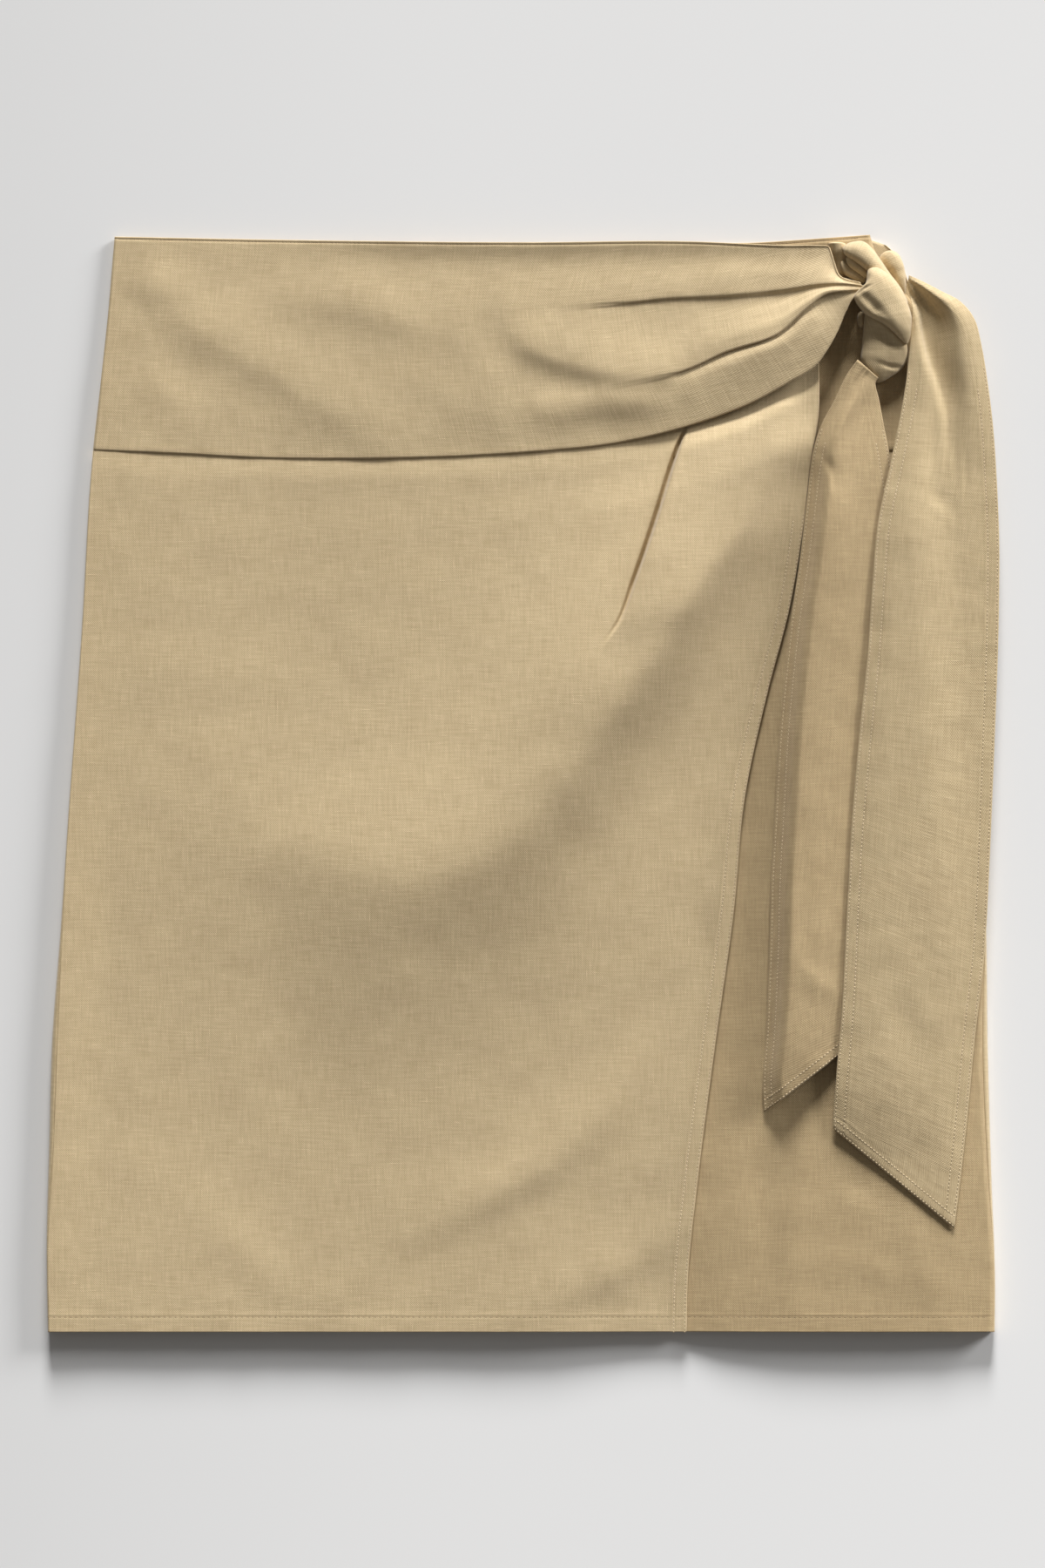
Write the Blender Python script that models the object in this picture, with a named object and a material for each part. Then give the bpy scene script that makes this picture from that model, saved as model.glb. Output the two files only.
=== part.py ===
# Linen wrap skirt, laid flat with its front up and its two ties knotted at the hip.
# Frame: +X to the right of the skirt as it lies, +Y towards the waist, +Z up.
# The origin is the middle of the underside, on the surface that the skirt lies on.
# The tables are in millimetres and the model is in metres.
import bpy
import numpy as np

MM = 0.001
WALL = 1.4                # wall of the cloth, measured upwards
GAP = 0.3                 # clearance between pieces that touch
SEAM_GAP = 0.5            # clearance along the yoke seams, measured up the skirt
HEM_Y = -289.5            # hem line
BACK_SEAM_DROP = 170.0    # yoke seam of the back and the underlap at the middle
BACK_SEAM_RISE = 5.7      # how far that seam rises to the side seams
HALF_WIDTH = 227.0        # half of the width at the yoke seam
SIDE_ROUND = 45.0         # how far in from a side seam the front reaches its full loft
RIDE = WALL + GAP + 0.3   # how much higher the overlap lies than the underlap
RIDE_START = -140.0       # from here the overlap rises to lie on the underlap
RIDE_FULL = -65.0
FOLD_FOOT = 2.2           # width of the steep foot of a sharp fold
FOOT_LOSS = 0.6           # share of that width that is lost towards the knot
FOOT_LOSS_START, FOOT_LOSS_REACH = 0.8, 0.2   # where along the yoke that begins, and its reach
UNDERLAP_END = -60.0      # free edge of the underlap, hidden by the overlap
UNDERLAP_LOW = 70.0       # up to here the underlap lies on the back
UNDERLAP_FULL = 140.0     # from here on it has its full loft

LINEN = (0.50, 0.39, 0.225)
LINEN_ROUGHNESS = 0.92
SHADES = {                # tone of each piece, inner layers darker
    "back_panel": 0.9, "back_yoke": 0.85, "under_panel": 0.95, "under_yoke": 0.95, "front_panel": 1.0,
    "front_yoke": 1.05, "tail_short": 0.95, "tail_long": 1.0, "tie_side_strip": 1.05, "tie_side_loop": 1.05,
    "tie_front_turn": 1.05, "tie_front_band": 1.05,
}


def table(columns, *rows):
    return {name: np.array(values, float) for name, values in zip(columns.split(), zip(*rows))}


# Side folds of the back, up the skirt
LEFT_SIDE = table("y x", (-290, -250.5), (-244, -251.2), (-190, -249.8), (-138, -248.4), (-74, -243.6),
                  (-20, -240.0), (80, -232.8), (176, -226.8), (230, -220.5), (290, -215.0))
RIGHT_SIDE = table("y x", (-290, 249.3), (-262, 249.5), (-209, 247.6), (-138, 245.6), (-70, 244.5),
                   (-20, 241.0), (80, 234.0), (176, 227.0), (230, 217.0), (262, 205.0), (282, 194.5),
                   (290, 184.0))
# How far the side seam lies inside the back's fold
SEAM_INSET = table("y inset", (-290, 0.8), (-244, 0.9), (-209, 2.0), (-138, 3.0), (-80, 1.2), (69, 0.6),
                   (290, 0.5))
# Loft of the front over the back, from hem to waist
LOFT = table("y height", (-290, 6.0), (-235, 4.6), (-100, 4.4), (0, 4.4), (171, 3.4), (290, 1.3))

# Rails of the front yoke, from the side seam to the knot; heights are above the piece below
YOKE_BOTTOM = table("x y z", (-226.3, 175.7, 0.0), (-184, 173.9, 0.8), (-138, 171.6, 0.8), (-92, 171.1, 0.8),
                    (-55, 171.6, 0.8), (0, 174.3, 0.9), (50, 179.4, 1.2), (87, 188.1, 1.8), (124, 201.9, 1.6),
                    (139.8, 210.7, 1.4), (154.6, 219.9, 1.2), (161, 228.6, 1.2), (166.1, 237.8, 1.4),
                    (170.7, 248.4, 1.8), (174.3, 257.1, 2.0))
YOKE_FOLD_TWO = table("x y below above", (-223.2, 206, 0.0, 0.0), (-120, 200, 0.8, 0.8), (-20, 201, 1.2, 1.2),
                      (40, 207, 1.6, 1.6), (69, 212.5, 1.4, 2.2), (81.9, 215.7, 1.2, 3.0),
                      (107.2, 227.2, 1.0, 3.8), (134.8, 236.9, 0.9, 4.2), (150.4, 250.7, 1.0, 4.4),
                      (160, 257.4, 1.6, 3.8), (172.2, 259.6, 2.0, 2.8))
YOKE_FOLD_ONE = table("x y below above", (-218.6, 249, 0.0, 0.0), (-120, 246, 1.0, 1.0), (-20, 247, 1.6, 1.6),
                      (30.8, 250.7, 1.6, 1.8), (53.4, 252.4, 0.8, 2.6), (76.4, 254.8, 0.4, 2.9),
                      (108, 256.0, 0.3, 2.8), (139.8, 259.0, 0.5, 2.5), (156.9, 262.0, 1.4, 2.6),
                      (170.5, 263.4, 2.2, 2.6))
YOKE_TOP = table("x y z", (-215.3, 288.4, 0.0), (-135.2, 286.8, 0.6), (0, 285.2, 0.6), (87.9, 285.7, 0.6),
                 (140, 283.6, 0.6), (160, 282.6, 0.8), (168.5, 277.0, 1.4), (171.5, 268.5, 2.0))

# Rails of the overlapping front, up the skirt
PLEAT = table("y x left right", (-290, 0.0, 0.0, 0.0), (-140, 10.0, 0.0, 0.0), (-20, 24.0, 0.0, 0.0),
              (50, 36.0, 0.0, 0.0), (74, 44.2, 0.0, 0.3), (84.6, 51.1, 0.0, 0.8), (107.6, 59.8, 0.0, 1.7),
              (120.5, 64.4, 0.0, 2.1), (144, 72.2, 0.0, 2.6), (168, 79.6, 0.0, 2.8), (188, 86.5, 0.0, 2.8),
              (203, 93.0, 0.0, 2.0), (219, 99.0, 0.0, 1.0))
OVERLAP_EDGE = table("y x", (-290, 86.5), (-262, 87.2), (-209, 92.5), (-138, 101.7), (-65, 111.8),
                     (-9, 117.1), (51, 130.2), (91.5, 140.8), (132, 147.7), (173, 152.7), (190, 155.8),
                     (219, 156.4))

# Top edges of the hidden yokes, and the underlap yoke's side edge beside the knot
BACK_TOP = table("x y", (-216, 287.6), (-135, 286.0), (0, 284.4), (90, 284.8), (140, 285.6), (170, 287.6),
                 (184, 288.3), (195, 281.5))
UNDER_TOP = table("x y", (-60, 284.0), (90, 284.8), (120, 285.0), (149.5, 286.8), (183, 289.3))
UNDER_YOKE_SIDE = table("y x", (170, 226.6), (230, 216.3), (255, 205.0), (268, 193.0), (282, 185.6),
                        (290, 183.2))
YOKE_EVEN = 0.94          # the back yoke's stations are evenly spaced up to this share of its width
CORNER = (0.97, 1.0)      # its last stations, at its cut corner

# Soft folds: crest line, reach up and down the slope, height
DRAPE_CREST = table("x y", (121, 156), (98, 128), (75, 87), (38, 36), (6, -14), (-22, -56), (-58, -80),
                    (-108, -130))
DRAPE_UPPER, DRAPE_LOWER, DRAPE_HEIGHT = 60.0, 28.0, 5.0
HOLLOW_LINE = table("x y", (-46, 275), (-4, 257), (9, 230), (37, 207), (64, 193))
HOLLOW_REACH, HOLLOW_DEPTH = 13.0, 1.6

# Hanging ends: both edges of each section and the heights across it
TAIL_SHORT = table("left_x left_y right_x right_y edge_l quarter_l middle quarter_r edge_r",
                   (175.0, 222, 187.0, 213, 1.8, 1.8, 1.8, 1.8, 1.8),
                   (168.0, 209, 188.5, 199, 3.5, 2.5, 0.5, 0.5, 3.0),
                   (161.0, 196, 190.5, 187, 4.5, 4.0, 0.8, 0.5, 3.0),
                   (155.5, 183, 192.5, 177, 4.5, 5.0, 1.5, 0.5, 1.2),
                   (152.0, 168, 194.5, 166, 3.0, 4.5, 2.0, 0.5, 0.2),
                   (149.5, 146, 197.5, 145, 2.0, 3.5, 2.2, 0.5, 0.0),
                   (145.8, 115, 200.0, 113, 1.2, 2.0, 2.0, 0.5, 0.0),
                   (142.0, 84, 200.0, 86, 0.8, 1.5, 1.8, 0.5, 0.0),
                   (136.6, 45, 198.5, 50, 0.8, 1.8, 2.2, 0.5, 0.0),
                   (133.9, -3, 196.0, 2, 0.8, 1.5, 2.4, 0.5, 0.0),
                   (131.5, -42, 193.0, -38, 0.8, 1.2, 2.0, 0.5, 0.0),
                   (130.0, -85, 190.0, -76, 0.8, 1.5, 1.2, 0.5, 0.0),
                   (128.4, -122, 187.5, -108, 0.8, 1.8, 1.2, 0.5, 0.0),
                   (127.0, -150, 186.0, -122, 0.6, 1.2, 0.8, 0.5, 0.0),
                   (126.6, -173, 185.0, -129.6, 0.4, 0.8, 0.6, 0.3, 0.0))
TAIL_LONG = table("left_x left_y right_x right_y edge_l quarter_l middle quarter_r edge_r",
                  (203.5, 261, 206.0, 268, 5.0, 5.5, 6.0, 5.5, 5.0),
                  (204.5, 256, 214.0, 263.5, 5.0, 6.5, 8.0, 8.0, 5.0),
                  (205.5, 250, 226.5, 257, 4.5, 6.0, 7.5, 9.0, 5.0),
                  (205.3, 243, 236.0, 248.5, 4.0, 6.0, 4.5, 8.5, 4.0),
                  (204.3, 234, 241.5, 234, 3.5, 6.0, 3.5, 8.0, 3.5),
                  (202.4, 212, 245.5, 210, 3.0, 4.5, 3.0, 6.5, 3.0),
                  (198.7, 192, 248.0, 189, 2.2, 3.2, 2.8, 5.0, 2.6),
                  (194.1, 170, 250.0, 165, 1.0, 2.2, 2.6, 4.0, 2.2),
                  (187.2, 137, 251.5, 130, 0.6, 1.5, 2.4, 3.2, 2.0),
                  (184.0, 85, 251.2, 85, 0.5, 1.2, 1.8, 2.6, 1.6),
                  (177.6, 28, 248.8, 20, 0.5, 1.2, 1.6, 2.2, 1.4),
                  (172.5, -46, 245.9, -56, 0.5, 1.0, 1.4, 2.0, 1.2),
                  (168.4, -116, 238.7, -135, 0.5, 1.0, 1.2, 1.6, 1.0),
                  (165.6, -152, 233.8, -181, 0.5, 1.0, 1.2, 1.2, 0.8),
                  (163.8, -181, 228.0, -235.5, 0.5, 0.8, 0.8, 0.8, 0.6))
TAIL_RIDE = WALL + GAP + 0.8          # how much higher the long end lies where it crosses the short one
CROSSING_TOP, CROSSING_FOOT = 172.0, -172.0   # the two ends cross between these lines
CROSSING_FADE = 18.0
EDGE_CLEAR, EDGE_FALL = 3.0, 12.0     # how far past an edge below a hanging end stays up, and comes down

# The knot: both edges of each section; each piece lies between its own two levels
KNOT_RIM = 2.0
KNOT_END_POWER = 8        # how blunt both ends of a rolled stretch are
STRIP = table("left_x left_y right_x right_y", (186.5, 278.5, 189.5, 281.4), (188.0, 274.5, 196.0, 280.6),
              (190.5, 270.5, 200.1, 275.8), (193.5, 266.0, 201.6, 268.6), (196.8, 261.5, 201.9, 262.5),
              (199.8, 257.6, 201.6, 257.0))
LOOP = table("left_x left_y right_x right_y", (167.4, 276.9, 168.4, 282.9), (171.1, 271.4, 172.5, 284.9),
             (176.6, 266.3, 177.6, 285.7), (182.2, 264.3, 183.1, 283.4), (186.8, 264.1, 188.4, 277.3),
             (192.3, 261.5, 194.0, 270.9), (197.0, 258.9, 198.9, 263.6), (200.1, 256.5, 201.0, 258.1))
BAND = table("left_x left_y right_x right_y", (182.2, 265.4, 181.7, 271.4), (180.4, 261.3, 185.4, 271.9),
             (174.8, 255.8, 190.9, 268.6), (177.6, 249.8, 196.9, 263.1), (185.4, 247.0, 201.0, 255.8),
             (191.4, 242.0, 204.4, 247.9), (196.9, 236.9, 204.6, 238.7), (201.9, 228.6, 203.6, 231.4))
TURN = table("left_x left_y right_x right_y", (178.5, 250.6, 185.4, 250.6), (179.9, 242.4, 192.3, 243.4),
             (179.4, 235.1, 198.7, 237.0), (178.9, 228.6, 202.6, 230.5), (179.4, 222.2, 202.6, 224.9),
             (181.7, 216.7, 201.8, 219.4), (185.4, 212.1, 197.8, 215.3), (187.2, 210.7, 190.4, 212.1))
KNOT = (
    # name, sections, lower level, crown level
    ("tie_side_strip", STRIP, 3.8, 9.0),
    ("tie_side_loop", LOOP, 9.4, 17.4),
    ("tie_front_turn", TURN, 9.4, 17.4),
    ("tie_front_band", BAND, 17.8, 25.4),
)

# Cells of each sheet, across and along
YOKE_STATIONS, YOKE_BANDS, FOLD_BANDS = 34, 3, 1
PANEL_LEFT_CELLS, PANEL_RIGHT_CELLS, PANEL_ROWS = 17, 7, 30
UNDER_CELLS, UNDER_ROWS, UNDER_YOKE_ROWS = 16, 16, 4
BACK_ROWS, BACK_YOKE_ROWS = 18, 6
TAIL_CELLS, TAIL_STATIONS = 8, 34
KNOT_CELLS, KNOT_STATIONS = 8, 14
SEAM_SAMPLES = 401
UNDERLAP_ROUNDS, PANEL_ROUNDS = 4, 5   # rounds in which a point's two coordinates settle


def ramp(t):
    t = np.clip(t, 0.0, 1.0)
    return t * t * (3.0 - 2.0 * t)


def smooth(t, knots, values):
    """Cubic curve through the rows of a table."""
    t = float(np.clip(t, knots[0], knots[-1]))
    k = int(np.clip(np.searchsorted(knots, t) - 1, 0, len(knots) - 2))
    slopes = np.gradient(values, knots)
    h = knots[k + 1] - knots[k]
    s = (t - knots[k]) / h
    return ((1 + 2 * s) * (1 - s) ** 2 * values[k] + s * (1 - s) ** 2 * h * slopes[k]
            + s * s * (3 - 2 * s) * values[k + 1] + s * s * (s - 1) * h * slopes[k + 1])


def rail(rows, u):
    """All columns of a rail at the fraction u of its length."""
    reach = np.concatenate([[0.0], np.cumsum(np.hypot(np.diff(rows["x"]), np.diff(rows["y"])))])
    return {name: smooth(u * reach[-1], reach, rows[name]) for name in rows}


def along(rows, u):
    """All columns of a section table at the fraction u of its rows."""
    knots = np.linspace(0.0, 1.0, len(rows["left_x"]))
    return {name: smooth(u, knots, rows[name]) for name in rows}


SEAM = [rail(YOKE_BOTTOM, u) for u in np.linspace(0.0, 1.0, SEAM_SAMPLES)]
SEAM_X = np.array([point["x"] for point in SEAM])
SEAM_Y = np.array([point["y"] for point in SEAM])


def yoke_seam(x):
    return float(np.interp(x, SEAM_X, SEAM_Y))


def back_seam(x):
    return BACK_SEAM_DROP + BACK_SEAM_RISE * (x / HALF_WIDTH) ** 2


def left_side(y):
    return smooth(y, LEFT_SIDE["y"], LEFT_SIDE["x"])


def right_side(y):
    return smooth(y, RIGHT_SIDE["y"], RIGHT_SIDE["x"])


def seam_inset(y):
    return smooth(y, SEAM_INSET["y"], SEAM_INSET["inset"])


def loft(x, y):
    """How far the front stands off the back, nothing at the side seams."""
    sides = ramp((x - left_side(y)) / SIDE_ROUND) * ramp((right_side(y) - x) / SIDE_ROUND)
    return smooth(y, LOFT["y"], LOFT["height"]) * sides


def soft_fold(x, y, line, upper, lower):
    """A soft ridge along a line: 1 on the line, fading over its reach on each side and past its ends."""
    start = np.stack([line["x"][:-1], line["y"][:-1]], axis=1)
    run = np.stack([np.diff(line["x"]), np.diff(line["y"])], axis=1)
    point = np.array([x, y]) - start
    t = np.clip((point * run).sum(axis=1) / (run * run).sum(axis=1), 0.0, 1.0)
    away = point - run * t[:, None]
    k = int(np.argmin((away * away).sum(axis=1)))
    side = run[k][0] * away[k][1] - run[k][1] * away[k][0]
    reach = lower if side > 0 else upper
    return float(np.exp(-(away[k] @ away[k]) / reach ** 2))


def under_floor(x, y):
    """Underside of the underlap."""
    return WALL + GAP + loft(x, y) * ramp((x - UNDERLAP_LOW) / (UNDERLAP_FULL - UNDERLAP_LOW))


def under_top(x, y):
    return under_floor(x, y) + WALL


def front_floor(x, y):
    """Underside of the overlapping front before its own folds."""
    return WALL + GAP + loft(x, y) + RIDE * ramp((x - RIDE_START) / (RIDE_FULL - RIDE_START))


def panel_floor(x, y):
    return front_floor(x, y) + DRAPE_HEIGHT * soft_fold(x, y, DRAPE_CREST, DRAPE_UPPER, DRAPE_LOWER)


def yoke_floor(x, y):
    return front_floor(x, y) - HOLLOW_DEPTH * soft_fold(x, y, HOLLOW_LINE, HOLLOW_REACH, HOLLOW_REACH)


def between(first, second, count):
    """Points from the first to the second, the second left out."""
    return [first + (second - first) * k / count for k in range(count)]


def linen(name):
    material = bpy.data.materials.new(name + "_linen")
    material.use_nodes = True
    shader = material.node_tree.nodes["Principled BSDF"]
    shader.inputs["Base Color"].default_value = tuple(SHADES[name] * channel for channel in LINEN) + (1.0,)
    shader.inputs["Roughness"].default_value = LINEN_ROUGHNESS
    shader.inputs["Metallic"].default_value = 0.0
    return material


def solid(name, lower, upper):
    """A closed solid between two grids of points, given in millimetres."""
    lower = np.array(lower)
    upper = np.array(upper)
    rows, cells = lower.shape[:2]
    along_rows, across = lower[-1, 0] - lower[0, 0], lower[0, -1] - lower[0, 0]
    flip = along_rows[0] * across[1] - along_rows[1] * across[0] > 0
    points = np.concatenate([lower.reshape(-1, 3), upper.reshape(-1, 3)]) * MM
    top = rows * cells

    def index(i, j, layer):
        return layer * top + i * cells + j

    faces = []
    for i in range(rows - 1):
        for j in range(cells - 1):
            faces.append([index(i, j, 0), index(i + 1, j, 0), index(i + 1, j + 1, 0), index(i, j + 1, 0)])
            faces.append([index(i, j, 1), index(i, j + 1, 1), index(i + 1, j + 1, 1), index(i + 1, j, 1)])
    rim = [(i, 0) for i in range(rows)] + [(rows - 1, j) for j in range(1, cells)]
    rim += [(i, cells - 1) for i in range(rows - 2, -1, -1)] + [(0, j) for j in range(cells - 2, 0, -1)]
    for (i, j), (k, m) in zip(rim, rim[1:] + rim[:1]):
        faces.append([index(i, j, 0), index(i, j, 1), index(k, m, 1), index(k, m, 0)])
    if flip:
        faces = [face[::-1] for face in faces]
    mesh = bpy.data.meshes.new(name)
    mesh.from_pydata([tuple(point) for point in points], [], faces)
    mesh.validate()
    mesh.shade_smooth()
    piece = bpy.data.objects.new(name, mesh)
    piece.data.materials.append(linen(name))
    bpy.context.collection.objects.link(piece)
    return piece


def cloth(name, lower):
    """A sheet of cloth of even wall over a grid of underside points."""
    lower = np.array(lower)
    return solid(name, lower, lower + np.array([0.0, 0.0, WALL]))


def back_panel():
    grid = []
    for v in np.linspace(0.0, 1.0, BACK_ROWS):
        row = []
        for u in np.linspace(0.0, 1.0, UNDER_CELLS):
            y = HEM_Y + v * (back_seam(HALF_WIDTH * (2.0 * u - 1.0)) - SEAM_GAP - HEM_Y)
            row.append((left_side(y) + u * (right_side(y) - left_side(y)), y, 0.0))
        grid.append(row)
    return cloth("back_panel", grid)


def back_yoke():
    grid = []
    for v in np.linspace(0.0, 1.0, BACK_YOKE_ROWS):
        row = []
        for u in np.concatenate([np.linspace(0.0, YOKE_EVEN, UNDER_CELLS - 2), CORNER]):
            low = back_seam(HALF_WIDTH * (2.0 * u - 1.0))
            top_x = BACK_TOP["x"][0] + u * (BACK_TOP["x"][-1] - BACK_TOP["x"][0])
            high = smooth(top_x, BACK_TOP["x"], BACK_TOP["y"])
            y = low + v * (high - low)
            row.append((left_side(y) + u * (right_side(y) - left_side(y)), y, 0.0))
        grid.append(row)
    return cloth("back_yoke", grid)


def underlap_grid(bottom, top, side, rows):
    """Underside points of the underlap from its hidden free edge to its side seam."""
    grid = []
    for v in np.linspace(0.0, 1.0, rows):
        row = []
        for u in np.linspace(0.0, 1.0, UNDER_CELLS):
            x = UNDERLAP_END + u * (HALF_WIDTH - UNDERLAP_END)
            for _ in range(UNDERLAP_ROUNDS):
                y = bottom(x) + v * (top(x) - bottom(x))
                x = UNDERLAP_END + u * (side(y) - UNDERLAP_END)
            row.append((x, y, under_floor(x, y)))
        grid.append(row)
    return grid


def under_panel():
    return cloth("under_panel", underlap_grid(lambda x: HEM_Y, lambda x: back_seam(x) - SEAM_GAP,
                                              lambda y: right_side(y) - seam_inset(y), UNDER_ROWS))


def under_yoke():
    return cloth("under_yoke", underlap_grid(back_seam, lambda x: smooth(x, UNDER_TOP["x"], UNDER_TOP["y"]),
                                             lambda y: smooth(y, UNDER_YOKE_SIDE["y"], UNDER_YOKE_SIDE["x"]),
                                             UNDER_YOKE_ROWS))


def front_panel():
    """The overlap: from the side seam to the pleat's foot, and from the pleat's crest to the hemmed edge."""
    def pleat_x(y):
        return smooth(y, PLEAT["y"], PLEAT["x"])

    def side_x(y):
        return left_side(y) + seam_inset(y)

    def edge_x(y):
        return smooth(y, OVERLAP_EDGE["y"], OVERLAP_EDGE["x"])

    def point(v, a, start, end, height):
        x = 0.0
        for _ in range(PANEL_ROUNDS):
            y = HEM_Y + v * (yoke_seam(x) - SEAM_GAP - HEM_Y)
            x = start(y) + a * (end(y) - start(y))
        return x, y, panel_floor(x, y) + height(y)

    grid = []
    for v in np.linspace(0.0, 1.0, PANEL_ROWS):
        left = [point(v, a, side_x, lambda y: pleat_x(y) - FOLD_FOOT,
                      lambda y: a * smooth(y, PLEAT["y"], PLEAT["left"]))
                for a in np.linspace(0.0, 1.0, PANEL_LEFT_CELLS)]
        right = [point(v, a, pleat_x, edge_x,
                       lambda y: (1.0 - ramp(a)) * smooth(y, PLEAT["y"], PLEAT["right"]))
                 for a in np.linspace(0.0, 1.0, PANEL_RIGHT_CELLS)]
        grid.append(left + right)
    return cloth("front_panel", grid)


def front_yoke():
    """Sections from the side seam to the knot, each stepping down under its two sharp folds."""
    grid = []
    for u in np.linspace(0.0, 1.0, YOKE_STATIONS):
        rails = (YOKE_BOTTOM, YOKE_FOLD_TWO, YOKE_FOLD_ONE, YOKE_TOP)
        bottom, two, one, top = (rail(rows, u) for rows in rails)
        foot = FOLD_FOOT * (1.0 - FOOT_LOSS * ramp((u - FOOT_LOSS_START) / FOOT_LOSS_REACH))
        marks = [np.array(mark) for mark in (
            (bottom["x"], bottom["y"], bottom["z"]), (two["x"], two["y"] - foot, two["below"]),
            (two["x"], two["y"], two["above"]), (one["x"], one["y"] - foot, one["below"]),
            (one["x"], one["y"], one["above"]), (top["x"], top["y"], top["z"]))]
        counts = (YOKE_BANDS, FOLD_BANDS, YOKE_BANDS, FOLD_BANDS, YOKE_BANDS)
        row = []
        for first, second, count in zip(marks, marks[1:], counts):
            row += between(first, second, count)
        grid.append([(x, y, yoke_floor(x, y) + z) for x, y, z in row + [marks[-1]]])
    return cloth("front_yoke", grid)


def short_floor(x, y):
    """What the short end lies on: the overlap beside its edge, and the underlap past it."""
    edge = smooth(y, OVERLAP_EDGE["y"], OVERLAP_EDGE["x"])
    cover = 1.0 - ramp((x - edge - EDGE_CLEAR) / EDGE_FALL)
    return under_top(x, y) + cover * (panel_floor(x, y) + WALL - under_top(x, y))


def long_floor(x, y):
    """What the long end lies on: the short end where they cross, and the underlap past it."""
    side = np.interp(y, TAIL_SHORT["right_y"][::-1], TAIL_SHORT["right_x"][::-1])
    cover = 1.0 - ramp((x - side - EDGE_CLEAR) / EDGE_FALL)
    top = ramp((CROSSING_TOP + CROSSING_FADE - y) / CROSSING_FADE)
    foot = ramp((y - CROSSING_FOOT) / CROSSING_FADE)
    cover *= top * foot
    return under_top(x, y) + TAIL_RIDE * cover


def tail(name, sections, floor):
    columns = ("edge_l", "quarter_l", "middle", "quarter_r", "edge_r")
    places = np.linspace(0.0, 1.0, len(columns))
    grid = []
    for u in np.linspace(0.0, 1.0, TAIL_STATIONS):
        section = along(sections, u)
        heights = np.array([section[column] for column in columns])
        row = []
        for v in np.linspace(0.0, 1.0, TAIL_CELLS + 1):
            x = section["left_x"] + v * (section["right_x"] - section["left_x"])
            y = section["left_y"] + v * (section["right_y"] - section["left_y"])
            row.append((x, y, floor(x, y) + GAP + smooth(v, places, heights)))
        grid.append(row)
    return cloth(name, grid)


def knot_piece(name, sections, low, crown):
    """A rolled stretch of a tie: flat below, rounded across and at both ends above."""
    lower, upper = [], []
    for u in np.linspace(0.0, 1.0, KNOT_STATIONS):
        section = along(sections, u)
        below, above = [], []
        for v in np.linspace(0.0, 1.0, KNOT_CELLS + 1):
            x = section["left_x"] + v * (section["right_x"] - section["left_x"])
            y = section["left_y"] + v * (section["right_y"] - section["left_y"])
            dome = np.sqrt(max(0.0, 1.0 - (2.0 * v - 1.0) ** 2) * (1.0 - (2.0 * u - 1.0) ** KNOT_END_POWER))
            below.append((x, y, low))
            above.append((x, y, low + KNOT_RIM + (crown - low - KNOT_RIM) * dome))
        lower.append(below)
        upper.append(above)
    return solid(name, lower, upper)


def main():
    for piece in list(bpy.data.objects):
        bpy.data.objects.remove(piece, do_unlink=True)
    back_panel()
    back_yoke()
    under_panel()
    under_yoke()
    front_panel()
    front_yoke()
    tail("tail_short", TAIL_SHORT, short_floor)
    tail("tail_long", TAIL_LONG, long_floor)
    for name, sections, low, crown in KNOT:
        knot_piece(name, sections, low, crown)


main()
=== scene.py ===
import math
import bmesh
import bpy
import numpy as np
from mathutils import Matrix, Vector


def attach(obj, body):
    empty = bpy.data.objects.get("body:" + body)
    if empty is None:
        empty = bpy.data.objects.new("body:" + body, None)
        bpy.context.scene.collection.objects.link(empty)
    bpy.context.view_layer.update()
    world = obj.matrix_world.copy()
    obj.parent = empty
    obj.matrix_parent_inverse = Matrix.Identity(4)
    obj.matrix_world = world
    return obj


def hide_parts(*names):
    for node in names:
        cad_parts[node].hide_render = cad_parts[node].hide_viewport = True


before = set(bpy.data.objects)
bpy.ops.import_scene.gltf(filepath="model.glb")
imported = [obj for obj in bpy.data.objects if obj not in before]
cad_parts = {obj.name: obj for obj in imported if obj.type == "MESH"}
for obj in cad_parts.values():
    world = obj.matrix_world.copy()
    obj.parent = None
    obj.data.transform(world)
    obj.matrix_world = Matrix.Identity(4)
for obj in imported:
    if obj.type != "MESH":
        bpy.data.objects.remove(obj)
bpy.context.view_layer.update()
mm = 0.001  # the tables are in millimetres, the meshes in metres
print("frame loaded:", len(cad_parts), "nodes")


# ---- tables and curves

def table(columns, *rows):
    return {name: np.array(values, float) for name, values in zip(columns.split(), zip(*rows))}


def ramp(t):
    t = np.clip(t, 0.0, 1.0)
    return t * t * (3.0 - 2.0 * t)


def smooth(t, knots, values):  # cubic curve through the rows of a table
    t = np.clip(t, knots[0], knots[-1])
    k = np.clip(np.searchsorted(knots, t) - 1, 0, len(knots) - 2)
    slopes = np.gradient(values, knots)
    h = knots[k + 1] - knots[k]
    s = (t - knots[k]) / h
    return ((1 + 2 * s) * (1 - s) ** 2 * values[k] + s * (1 - s) ** 2 * h * slopes[k]
            + s * s * (3 - 2 * s) * values[k + 1] + s * s * (s - 1) * h * slopes[k + 1])


def railAt(rows, u):  # all columns at the fraction u of the rail's length
    reach = np.concatenate([[0.0], np.cumsum(np.hypot(np.diff(rows["x"]), np.diff(rows["y"])))])
    return {name: smooth(u * reach[-1], reach, rows[name]) for name in rows}


def sectionAt(rows, u):  # all columns at the fraction u of the table's rows
    first = next(iter(rows.values()))
    return {name: smooth(u, np.linspace(0.0, 1.0, len(first)), rows[name]) for name in rows}


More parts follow.
